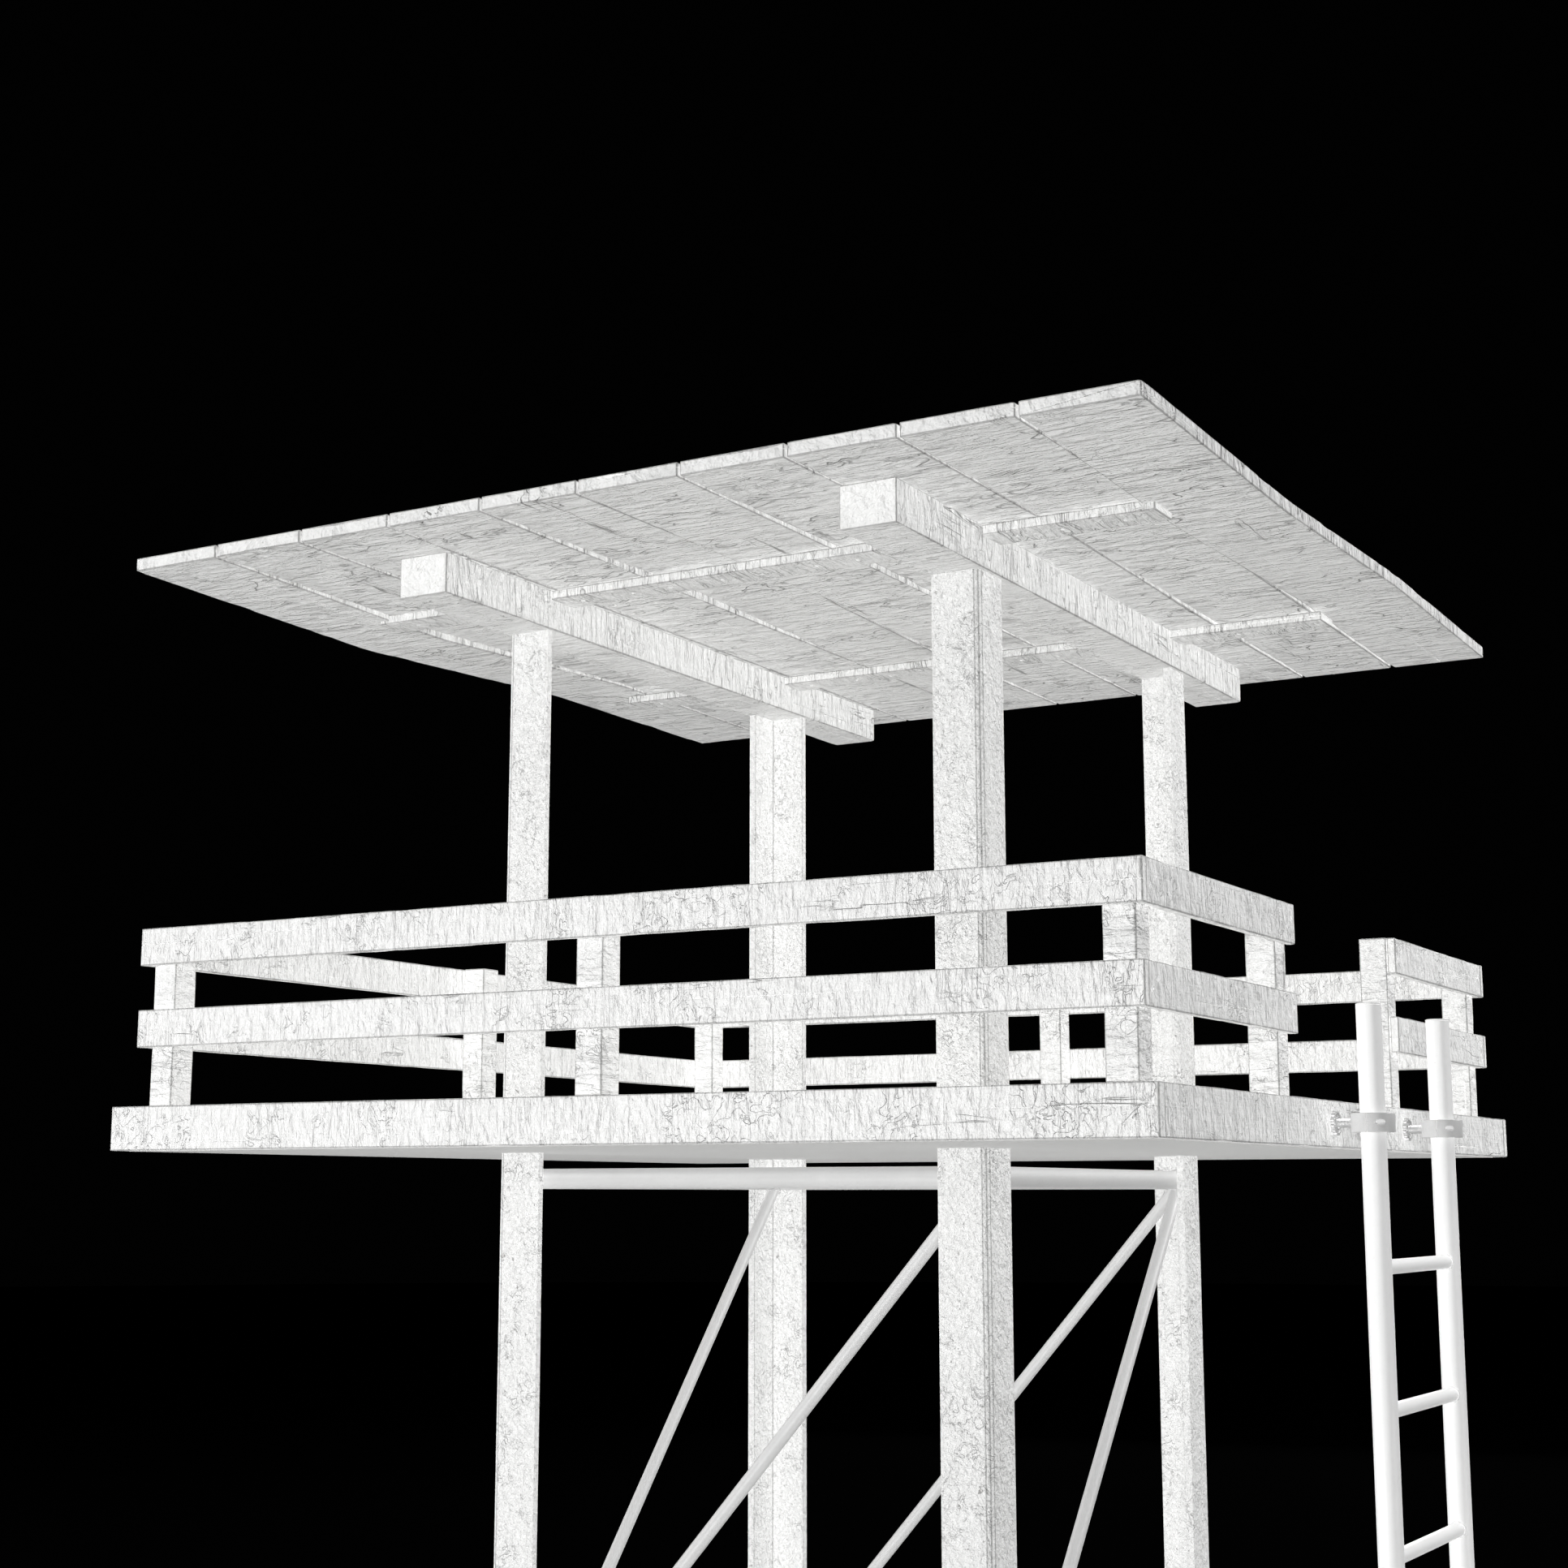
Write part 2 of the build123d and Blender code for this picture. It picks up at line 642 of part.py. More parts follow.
def lock_wheel(y):
    """A scalloped hand nut on the stud, against the deck's edge."""
    start = HALF_DECK + WHEEL_FACE_GAP
    wheel = rod((start, y, CLAMP_Z), (start + WHEEL_THICK, y, CLAMP_Z), WHEEL_R)
    for index in range(WHEEL_LOBES):
        turn = 2 * pi * index / WHEEL_LOBES
        lobe_y, lobe_z = y + WHEEL_R * cos(turn), CLAMP_Z + WHEEL_R * sin(turn)
        wheel += rod((start, lobe_y, lobe_z), (start + WHEEL_THICK, lobe_y, lobe_z), WHEEL_LOBE_R)
    return wheel - rod((start, y, CLAMP_Z), (start + WHEEL_THICK, y, CLAMP_Z), STUD_R + WHEEL_BORE_PLAY)


def build():
    """Every node by name."""
    dowels = at_four_legs(leg_dowels())
    bolts = at_four_legs(leg_bolts())
    rail_fixings = rail_screws()
    stake_fixings = stake_screws()
    batten_fixings = batten_screws()
    ties = tie_screws()
    rim_fixings = rim_screws()
    studs = [clamp_stud(y) for y in STILE_Y.values()]

    nodes = legs(dowels, bolts)
    nodes["foot_plates"] = foot_plates()
    nodes.update({f"upper_ring_{side}": tubes for side, tubes in ring(UPPER_RING_Z).items()})
    nodes["lower_ring"] = list(ring(LOWER_RING_Z).values())
    nodes.update(braces())
    nodes.update({name: cut(rim, rim_fixings + studs) for name, rim in rims().items()})
    nodes["deck_joists"] = [cut(joist, rim_fixings) for joist in joists(bolts)]
    nodes["deck_boards"] = deck_boards(leg_slots() + stake_fixings)
    nodes["deck_soffit"] = soffit()
    stake_tools = rail_fixings + stake_fixings
    for name, places in (("corner", CORNER_STAKES), ("middle", MID_STAKES), ("gate", GATE_STAKES)):
        nodes[f"rail_stakes_{name}"] = [cut(stake, stake_tools) for stake in stakes(places)]
    nodes.update(rails(rail_fixings))
    nodes.update(beams(dowels + ties))
    nodes.update(battens(batten_fixings + ties))
    nodes["roof_planks"] = planks(batten_fixings)
    nodes.update(stiles())
    nodes["ladder_rungs"] = rungs()
    nodes["ladder_stile_caps"] = stile_caps()
    nodes["ladder_feet"] = ladder_feet()
    for name, y in STILE_Y.items():
        nodes.update(clamp(name, y))
    nodes["clamp_studs"] = studs
    nodes["clamp_nuts"] = [stud_nut(y) for y in STILE_Y.values()]
    nodes["clamp_bolts"] = [bolt for y in STILE_Y.values() for bolt in clamp_bolts(y)]
    nodes["leg_joist_bolts"] = bolts
    nodes["beam_dowels"] = dowels
    nodes["rail_screws"] = rail_fixings
    nodes["deck_screws"] = stake_fixings + rim_fixings
    nodes["batten_screws"] = batten_fixings
    nodes["batten_tie_pins"] = ties
    return nodes


os.makedirs("parts", exist_ok=True)
for node_name, shape in build().items():
    solids = shape if isinstance(shape, list) else [shape]
    pieces = [piece for item in solids for piece in item.solids()]
    export_step(Compound(label=node_name, children=pieces), f"parts/{node_name}.step")
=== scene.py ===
import random
from math import asin, copysign, cos, degrees, hypot, pi, radians, sin, sqrt

import bmesh
import bpy
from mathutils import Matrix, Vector, noise
from mathutils.bvhtree import BVHTree


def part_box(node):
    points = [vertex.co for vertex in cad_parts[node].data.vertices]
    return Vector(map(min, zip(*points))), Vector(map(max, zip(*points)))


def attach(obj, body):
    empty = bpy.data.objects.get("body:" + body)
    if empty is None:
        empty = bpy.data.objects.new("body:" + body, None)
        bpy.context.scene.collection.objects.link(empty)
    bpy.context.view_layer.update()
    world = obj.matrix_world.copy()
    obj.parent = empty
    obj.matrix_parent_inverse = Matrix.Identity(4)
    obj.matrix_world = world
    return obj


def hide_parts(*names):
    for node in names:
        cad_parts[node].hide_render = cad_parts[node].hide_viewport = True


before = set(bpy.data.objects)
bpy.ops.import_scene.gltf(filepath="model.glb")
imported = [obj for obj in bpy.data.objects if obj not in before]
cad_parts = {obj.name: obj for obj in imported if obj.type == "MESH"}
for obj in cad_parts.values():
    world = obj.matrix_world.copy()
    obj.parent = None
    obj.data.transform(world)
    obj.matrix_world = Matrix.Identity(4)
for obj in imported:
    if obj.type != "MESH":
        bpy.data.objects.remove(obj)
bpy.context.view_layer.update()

# ---- measures

X_WAY, Y_WAY, Z_WAY = Vector((1, 0, 0)), Vector((0, 1, 0)), Vector((0, 0, 1))
# A board's length, width and thickness ways, by the axis it lies along
AXIS_WAYS = {"X": (X_WAY, Y_WAY, Z_WAY), "Y": (Y_WAY, X_WAY, Z_WAY), "Z": (Z_WAY, X_WAY, Y_WAY)}

SIDES = ("front", "rear", "left", "right")
# A section's corners: (way 1, way 2, the angle its arc starts at)
CORNERS = ((1, 1, 0), (-1, 1, 90), (-1, -1, 180), (1, -1, 270))

# Points nearer than this are one point
TOUCH = 1e-5

# Timber: spacing of points along and across a board, its eased ends, cracks, and arrises with real wear and a
# painted line of shade
STATION = 0.030
JOIST_STATION = 0.120
COLUMN = 0.024
ARRIS_COLUMN = 0.006
END_BEVEL = 0.0018
CRACK_HALF_WIDTH = 0.0011
CRACK_ROOM = 3.2 * CRACK_HALF_WIDTH
CRACK_SPREAD = 0.82
END_CRACKS = 0.55
SURFACE_SWELL = 0.0005
ARRIS_WEAR_AND_SHADE_REACH = 0.012
END_GRAIN = 0.006
PLANK_PROBES = (-0.05, -0.025, 0.0, 0.025, 0.05)
PLANK_PROBE_INSET = 0.004

# Legs and feet
LEG_CORNERS = ("front_left", "front_right", "rear_left", "rear_right")
LEG_NODES = [f"leg_{corner}" for corner in LEG_CORNERS]
LEG_THICK = 0.020
LEG_ROOT = 0.008
LEG_TOE = 0.0035
LEG_HEEL = 0.017
LEG_ROWS = 44
LEG_SWAY = 0.0004
# Columns of a leg's outline whose arrises get a painted dark line of shade
LEG_SHADE_LINE_COLUMNS = (1, 4, 7, 14, 19, 24)
LEG_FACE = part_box("leg_front_right")[1].x
LEG_REACH = LEG_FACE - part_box("leg_front_right")[0].x
SLOT_PLAY = 0.001
FOOT_CORNER = 0.006
FOOT_HOLE_AT = 0.090
FOOT_HOLE_R = 0.007
NOTCH_PLAY = 0.0005

# Tubes and welds
UPPER_RING_NODES = [f"upper_ring_{side}" for side in SIDES]
RING_WALL = 0.0032
BRACE_R = 0.016
BRACE_WALL = 0.0026
BRACE_REACH = 0.6225
PIPE_DENT = 0.0002
PIPE_END = 0.0010
WELD_STEP = 0.005
WELD_REACH = 0.2
LEG_WELD_R = 0.0042
RING_WELD_R = 0.0042
BRACE_WELD_R = 0.0036
RUNG_WELD_R = 0.0032
WELD_SIDES = 8
WELD_PROBE_SUNK = 0.001

# Ladder and clamps
STILE_R = 0.0275
STILE_WALL = 0.003
RUNG_WALL = 0.0025
RUNG_SUNK = 0.004
LADDER_X = sum(corner.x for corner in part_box("ladder_stile_front")) / 2
CAP_PROFILE = ((-0.020, 0.0236), (-0.0002, 0.0242), (0.0, STILE_R - 0.0003), (0.0022, STILE_R),
               (0.0032, 0.0262), (0.0038, 0.0240), (0.0040, 0.0150), (0.0040, 0.0030))
FOOT_RIBS = 5
FOOT_RIB_PITCH = 0.0078
CLAMP_BORE = 0.0278
CLAMP_GAP = 0.002
CLAMP_EDGE = 0.0018
CLAMP_ROWS = 33
BOLT_R = 0.004
BOLT_HEAD = 0.008
BOLT_SOCKET = 0.0031
BOLT_SEAT_R = 0.0068
WHEEL_BODY_R = 0.0235
WHEEL_LOBE_R = 0.004
WHEEL_LOBES = 12
WHEEL_BORE = 0.01005
WHEEL_MOUTH = 0.0112
# The wheel's outer face from its rim to its bore: (depth, radius)
WHEEL_FACE = ((0.0, 0.0205), (0.0004, 0.0198), (0.0016, 0.0192), (0.0016, 0.0148), (0.0004, 0.0142),
              (0.0, 0.0134), (0.0, WHEEL_MOUTH))
WHEEL_SIDES = 240
SCREW_SUNK = 0.0010
RAIL_SCREW_R = 0.0058
SMALL_SCREW_R = 0.0050

# Studio. Lamps are (name, place, height aimed at over the middle, size, watts, shadows)
FLOOR_DROP = -0.0005
# Distances where the floor's painted pool of light starts to fade and where it has faded to black
FLOOR_LIGHT_POOL = (2.4, 4.4)
FLOOR_RINGS = (0.5, 1.5, 3.0, 5.0, 8.0, 12.0, 20.0, 40.0)
FLOOR_SIDES = 96
BACKDROP = (0.0005, 0.0005, 0.0005)
LAMPS = [
    ("key", (6.6, -12.3, 2.6), 1.9, 5.0, 370.0, True),
    ("left_fill", (-9.5, -1.0, 4.0), 1.9, 7.0, 330.0, True),
    ("back_fill", (-2.0, 9.5, 4.0), 1.9, 7.0, 450.0, True),
    ("overhead", (0.0, 0.0, 9.0), 1.9, 7.0, 260.0, True),
    ("front_graze", (-8.0, -7.0, 6.0), 2.0, 2.5, 490.0, False),
    ("right_graze", (8.0, 6.0, 8.0), 2.0, 2.5, 1200.0, False),
    ("low_graze", (-1.5, -10.0, -2.2), 2.5, 2.5, 740.0, False),
    ("low_fill", (0.0, 0.0, -9.0), 2.0, 5.0, 285.0, False),
    ("front_fill", (1.5, -14.0, 2.0), 2.0, 4.0, 90.0, False),
    ("right_fill", (12.5, -1.0, -2.5), 2.0, 4.0, 255.0, False),
]

FRONT_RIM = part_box("rim_front")
DECK_SIDE = FRONT_RIM[1].x - FRONT_RIM[0].x
DECK_TOP = FRONT_RIM[1].z
DECK_CORNER = Vector((FRONT_RIM[0].x, FRONT_RIM[0].y, DECK_TOP))
DECK_CUT = 0.2

# The camera's place from the deck's front left top corner, in deck sides, and its turn in degrees
CAMERA_PLACE = Vector((1.6088, -1.5773, -0.0790))
CAMERA_PITCH = 9.775
CAMERA_YAW = 29.961
CAMERA_LENS = 54.82
CAMERA_SENSOR = 36.0


# ---- small helpers

def new_object(name, data):
    """An object in the scene."""
    item = bpy.data.objects.new(name, data)
    bpy.context.scene.collection.objects.link(item)
    return item


def solid_mesh(name, verts, faces):
    """A mesh object of a closed shape, its faces turned outwards."""
    mesh = bpy.data.meshes.new(name)
    mesh.from_pydata([tuple(v) for v in verts], [], faces)
    work = bmesh.new()
    work.from_mesh(mesh)
    bmesh.ops.recalc_face_normals(work, faces=work.faces)
    work.to_mesh(mesh)
    work.free()
    return new_object(name, mesh)


def smooth(mesh, flat_above):
    """Smooth shading, apart from edges sharper than an angle in degrees."""
    mesh.shade_smooth()
    mesh.set_sharp_from_angle(angle=radians(flat_above))


def mesh_piece(name, shape, finish, node=None, flat_above=40.0, body="frame"):
    """A piece of the object that rides a body, and may stand for a CAD node. Its finish is a material and
    the record's slot for it. The slot is not used."""
    material, slot = finish
    piece = solid_mesh(name, *shape)
    smooth(piece.data, flat_above)
    piece.data.materials.append(material)
    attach(piece, body)
    if node:
        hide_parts(node)
    return piece


def grid_faces(rows, columns, closed=False):
    """Quads between rings of points. Closed joins the last ring to the first."""
    faces = []
    for row in range(rows - 1 + int(closed)):
        here, there = row * columns, ((row + 1) % rows) * columns
        for column in range(columns):
            beside = (column + 1) % columns
            faces.append((here + column, here + beside, there + beside, there + column))
    return faces


def merged(shapes):
    """Several (verts, faces) shapes as one."""
    verts, faces = [], []
    for shape_verts, shape_faces in shapes:
        base = len(verts)
        verts += shape_verts
        faces += [tuple(base + index for index in face) for face in shape_faces]
    return verts, faces


def capped(verts, rows, columns):
    """A shape of rings of points, closed by one face at each end."""
    last = (rows - 1) * columns
    ends = [tuple(range(columns)), tuple(reversed(range(last, last + columns)))]
    return verts, grid_faces(rows, columns) + ends


def turns(count):
    """The angles of a circle's points."""
    return [2 * pi * index / count for index in range(count)]


def round_at(centre, side, up, reach, turn):
    """A point of a circle about a centre, between two square ways."""
    return centre + side * (reach * cos(turn)) + up * (reach * sin(turn))


def turning(start, way, profile, sides=48, closed=False):
    """A shape turned about a line. The profile holds (distance, radius), and a radius may be a function
    of the angle and the distance. A closed profile makes a ring or tube."""
    way = way.normalized()
    side = way.orthogonal().normalized()
    up = way.cross(side)
    verts = []
    for distance, radius in profile:
        for turn in turns(sides):
            reach = radius(turn, distance) if callable(radius) else radius
            verts.append(round_at(start + way * distance, side, up, reach, turn))
    rows = len(profile)
    return (verts, grid_faces(rows, sides, closed)) if closed else capped(verts, rows, sides)


def turning_x(low, high, profile, sides=48, closed=False):
    """A shape turned about the lengthwise middle of a box that lies along X."""
    centre = (low + high) / 2
    return turning(Vector((low.x, centre.y, centre.z)), X_WAY, profile, sides, closed)


def prism(outline, low_z, high_z):
    """An upright prism over a plan outline."""
    return capped([Vector((x, y, z)) for z in (low_z, high_z) for x, y in outline], 2, len(outline))


def carve(piece, shapes, flat_above=32.0):
    """Takes closed shapes out of a piece's mesh."""
    tool = solid_mesh("cutter", *merged(shapes))
    change = piece.modifiers.new("carve", "BOOLEAN")
    change.operation, change.solver, change.object = "DIFFERENCE", "EXACT", tool
    graph = bpy.context.evaluated_depsgraph_get()
    result = bpy.data.meshes.new_from_object(piece.evaluated_get(graph))
    piece.modifiers.clear()
    old = piece.data
    piece.data = result
    bpy.data.meshes.remove(old)
    bpy.data.objects.remove(tool)
    smooth(result, flat_above)


def box_shape(low, high):
    """A plain box as a cutting shape."""
    return prism([(low.x, low.y), (high.x, low.y), (high.x, high.y), (low.x, high.y)], low.z, high.z)


# ---- node materials

def dimmed(colour, share):
    """A colour with every part lowered to a share of it."""
    return tuple(part * share for part in colour)


class Nodes:
    """Short calls for building one material's node tree."""

    def __init__(self, name):
        self.material = bpy.data.materials.new(name)
        self.material.use_nodes = True
        self.tree = self.material.node_tree
        self.shader = self.tree.nodes["Principled BSDF"]

    def feed(self, socket, value):
        """Links a socket to another node's, or sets it to a number, a vector or an RGB triple."""
        if isinstance(value, bpy.types.NodeSocket):
            self.tree.links.new(value, socket)
        else:
            socket.default_value = (*value, 1) if socket.type == "RGBA" else value

    def add(self, kind, inputs=None, **settings):
        """The outputs of a new node, its inputs given by name or number."""
        node = self.tree.nodes.new(f"ShaderNode{kind}")
        for key, value in settings.items():
            setattr(node, key, value)
        for key, value in (inputs or {}).items():
            self.feed(node.inputs[key], value)
        return node.outputs

    def place(self):
        """A point's place in the object's own frame."""
        return self.add("TexCoord")["Object"]

    def attribute(self, name, output="Vector"):
        return self.add("Attribute", attribute_name=name)[output]

    def mapped(self, vector, scale):
        return self.add("Mapping", {"Vector": vector, "Scale": scale})["Vector"]

    def noise(self, vector, scale=1.0, detail=4.0, rough=0.55, distortion=0.0):
        settings = {"Scale": scale, "Detail": detail, "Roughness": rough, "Distortion": distortion}
        return self.add("TexNoise", {"Vector": vector, **settings})["Fac"]

    def cells(self, vector, scale):
        return self.add("TexVoronoi", {"Vector": vector, "Scale": scale})["Distance"]

    def ramp(self, value, *stops):
        """A grey ramp: stops are (position, level)."""
        node = self.tree.nodes.new("ShaderNodeValToRGB")
        while len(node.color_ramp.elements) < len(stops):
            node.color_ramp.elements.new(0.5)
        for element, (position, level) in zip(node.color_ramp.elements, stops):
            element.position = position
            element.color = (level, level, level, 1)
        self.feed(node.inputs["Fac"], value)
        return node.outputs["Color"]

    def math(self, operation, first, second, clamp=False):
        return self.add("Math", {0: first, 1: second}, operation=operation, use_clamp=clamp)["Value"]

    def times(self, first, second, clamp=False):
        return self.math("MULTIPLY", first, second, clamp)

    def sum(self, *weighted):
        """Sum of (socket, weight) pairs."""
        total = None
        for value, weight in weighted:
            part = self.times(value, weight)
            total = part if total is None else self.math("ADD", total, part)
        return total

    def mix(self, factor, first, second):
        """A mix of two colours, which are sockets or RGB triples."""
        return self.add("Mix", {"Factor": factor, 6: first, 7: second}, data_type="RGBA")[2]

    def band(self, value, half):
        """Thin lines where a noise passes its middle value."""
        return self.ramp(value, (0.5 - half, 0.0), (0.5, 1.0), (0.5 + half, 0.0))

    def patches(self, value, vector, level, scale=1.0):
        """The value, kept only in the patches where a broad noise is above a level."""
        zone = self.ramp(self.noise(vector, scale, 2.0), (level, 0.0), (level + 0.08, 1.0))
        return self.times(value, zone)

    def board_place(self):
        """How near a point of a board is to an arris, and whether it is off the board's ends. The distance
        to the nearest arris is the second smallest of its distances to the faces."""
        inside = self.add("VectorMath", {0: self.attribute("spot")}, operation="ABSOLUTE")["Vector"]
        depth = self.add("VectorMath", {0: self.attribute("half"), 1: inside}, operation="SUBTRACT")["Vector"]
        along, across, up = self.add("SeparateXYZ", {0: depth})
        least, most = self.math("MINIMUM", along, across), self.math("MAXIMUM", along, across)
        second = self.math("MAXIMUM", least, self.math("MINIMUM", most, up))
        nearness = self.math("SUBTRACT", 1.0, self.times(second, 1.0 / ARRIS_WEAR_AND_SHADE_REACH), clamp=True)
        return nearness, self.times(along, 1.0 / END_GRAIN, clamp=True)

    def bump(self, height, strength, distance):
        normal = self.add("Bump", {"Strength": strength, "Distance": distance, "Height": height})["Normal"]
        self.feed(self.shader.inputs["Normal"], normal)

    def finish(self, colour, roughness):
        self.feed(self.shader.inputs["Base Color"], colour)
        self.feed(self.shader.inputs["Roughness"], roughness)
        return self.material


def wood_material(name, white, worn, saw=1.0, lumps=1.0, pitch=88.0, wear=0.5, relief=1.0):
    """Rough-sawn timber under thin white paint: saw marks across, cracks along, wear at the arrises, with
    painted shade in the hollows and a painted dark line of shade along each arris.
    """
    make = Nodes(name)
    grain = make.attribute("grain")
    edge, off_end = make.board_place()

    def stretched(scale, *settings):
        return make.noise(make.mapped(grain, scale), 1.0, *settings)

    saw_marks = stretched((pitch, 9.0, 9.0), 4.0, 0.62, 0.35)
    deep_marks = stretched((0.43 * pitch, 5.0, 5.0), 3.0, 0.5, 0.5)
    plaster = stretched((62.0, 27.0, 27.0), 4.0, 0.55, 0.5)
    daubs = stretched((26.0, 13.0, 13.0), 4.0, 0.55, 0.7)
    grit = make.noise(grain, 240.0, 3.0, 0.6)
    fibre = stretched((5.0, 150.0, 150.0), 4.0, 0.6, 0.5)
    broad = stretched((1.6, 5.0, 5.0), 3.0)
    scores = make.patches(make.band(deep_marks, 0.016), make.mapped(grain, (9.0, 4.0, 4.0)), 0.46)
    fold_lines = make.band(make.noise(grain, 24.0, 3.0, 0.5, 1.1), 0.012)
    folds = make.patches(fold_lines, make.mapped(grain, (7.0, 7.0, 7.0)), 0.50)
    check_lines = make.band(stretched((2.4, 34.0, 34.0), 3.0, 0.5, 0.8), 0.015)
    checks = make.patches(check_lines, make.mapped(grain, (1.9, 9.0, 9.0)), 0.62)
    scores, folds = make.times(scores, off_end), make.times(folds, off_end)
    knot_cells = make.cells(make.mapped(grain, (2.2, 5.0, 5.0)), 1.0)
    knots = make.ramp(knot_cells, (0.0, 1.0), (0.045, 0.75), (0.07, 0.0))
    height = make.sum(
        (saw_marks, 1.1 * saw), (scores, -0.30 * saw), (plaster, 0.85 * lumps), (daubs, 0.9 * lumps),
        (grit, 0.10), (folds, -0.20 * lumps), (fibre, 0.10), (checks, -0.45), (knots, -0.2),
    )
    make.bump(height, 1.0, 0.0115 * relief)
    bare = make.times(make.times(edge, make.ramp(plaster, (0.50, 0.0), (0.66, 1.0))), wear, clamp=True)
    shade = make.ramp(make.sum((broad, 0.5), (fibre, 0.2), (saw_marks, 0.3)), (0.30, 0.0), (0.70, 1.0))
    # Painted shade in the hollows: the colour darkens along the saw scores and folds and in the low spots of
    # the relief.
    hollow = make.math("MAXIMUM", make.times(scores, 0.26 * saw), make.times(folds, 0.28 * lumps))
    share = 0.6 * saw + 0.4 * lumps
    rise = make.sum((saw_marks, 0.6 * saw / share), (plaster, 0.4 * lumps / share))
    painted_low_shade = make.ramp(rise, (0.34, 0.22), (0.47, 0.0))
    unshaded_paint = make.mix(shade, dimmed(white, 0.94), white)
    painted = make.mix(make.math("MAXIMUM", hollow, painted_low_shade), unshaded_paint, dimmed(white, 0.55))
    colour = make.mix(bare, painted, worn)
    # Painted shade: a thin dark line along every arris, standing in for the shade between one part and the
    # next.
    colour = make.mix(make.ramp(edge, (0.68, 0.0), (0.78, 0.66)), colour, dimmed(white, 0.30))
    colour = make.mix(make.times(knots, 0.40), colour, dimmed(worn, 0.62))
    colour = make.mix(make.times(checks, 0.60), colour, dimmed(worn, 0.40))
    return make.finish(colour, make.ramp(plaster, (0.3, 0.70), (0.7, 0.90)))


def steel_material(name, white, stain, lump_scale=48.0, strength=1.0, distance=0.0155, rough=(0.42, 0.62)):
    """Thickly painted steel: orange peel, dents and a few stained pits, with painted shade in the low spots
    of the peel and a painted dark line of shade along the marked arrises.
    """
    make = Nodes(name)
    place = make.place()
    peel = make.noise(place, lump_scale * 1.9, 4.0, 0.58, 0.3)
    lumps = make.noise(place, lump_scale * 0.55, 5.0, 0.6, 0.5)
    grit = make.noise(place, lump_scale * 8.0, 2.0, 0.5)
    broad = make.noise(place, 1.7, 4.0, 0.6)
    pits = make.ramp(make.noise(place, lump_scale * 1.2, 6.0, 0.7, 0.2), (0.655, 0.0), (0.70, 1.0))
    runs = make.noise(make.mapped(place, (16.0, 16.0, 0.9)), 1.0, 4.0, 0.6)
    fold_lines = make.band(make.noise(place, lump_scale * 0.6, 3.0, 0.5, 1.2), 0.012)
    folds = make.patches(fold_lines, place, 0.52, 9.0)
    height = make.sum((peel, 0.75), (lumps, 1.0), (grit, 0.06), (pits, -0.25), (folds, -0.2))
    make.bump(height, strength, distance)
    shade = make.ramp(make.sum((broad, 0.6), (runs, 0.4)), (0.32, 0.0), (0.68, 1.0))
    colour = make.mix(shade, dimmed(white, 0.92), white)
    # Painted shade in the hollows: the colour darkens in the low spots of the orange peel and along the
    # folds.
    hollow = make.math("MAXIMUM", make.ramp(peel, (0.34, 0.20), (0.45, 0.0)), make.times(folds, 0.28))
    colour = make.mix(make.times(hollow, strength), colour, dimmed(white, 0.55))
    # Painted shade: a thin dark line along the marked arrises, standing in for the shade between one part and
    # the next.
    arris_shade_line = make.ramp(make.attribute("edge", "Fac"), (0.30, 0.0), (0.70, 0.62))
    colour = make.mix(arris_shade_line, colour, dimmed(white, 0.30))
    colour = make.mix(make.times(pits, 0.38), colour, stain)
    return make.finish(colour, make.ramp(peel, (0.3, rough[0]), (0.7, rough[1])))


def zinc_material():
    """Dull zinc-plated steel with a faint spangle."""
    make = Nodes("zinc")
    place = make.place()
    spangle = make.cells(place, 95.0)
    grit = make.noise(place, 420.0, 3.0)
    broad = make.noise(place, 11.0, 4.0)
    make.bump(make.sum((spangle, 0.3), (grit, 0.7)), 0.25, 0.0006)
    level = make.ramp(make.sum((spangle, 0.5), (broad, 0.5)), (0.15, 0.40), (0.75, 0.56))
    make.shader.inputs["Metallic"].default_value = 0.65
    return make.finish(level, make.ramp(broad, (0.3, 0.38), (0.7, 0.55)))


def rubber_material():
    """Matt black rubber with dust on it."""
    make = Nodes("rubber")
    place = make.place()
    grit = make.noise(place, 300.0, 4.0)
    dust = make.ramp(make.noise(place, 26.0, 5.0, 0.65), (0.45, 0.0), (0.70, 1.0))
    make.bump(grit, 0.35, 0.0008)
    colour = make.mix(dust, (0.028, 0.028, 0.028), (0.16, 0.15, 0.135))
    return make.finish(colour, make.ramp(dust, (0.0, 0.62), (1.0, 0.92)))


def sheet_material():
    """Smooth painted plywood: faint roller texture, slight mottling, and a grey that is painted shade under
    the deck.
    """
    make = Nodes("soffit_paint")
    place = make.place()
    roller = make.noise(place, 130.0, 3.0)
    veneer = make.noise(make.mapped(place, (1.2, 22.0, 1.0)), 1.0, 4.0, 0.6, 1.2)
    broad = make.noise(place, 1.1, 3.0)
    make.bump(make.sum((roller, 0.5), (veneer, 0.4)), 0.22, 0.0012)
    shade = make.ramp(make.sum((broad, 0.6), (veneer, 0.4)), (0.3, 0.0), (0.7, 1.0))
    # Painted shade: the sheet's grey, well below the other white paints, stands in for the shade under the
    # deck.
    return make.finish(make.mix(shade, (0.49, 0.49, 0.485), (0.53, 0.53, 0.525)), 0.72)


# ---- timber

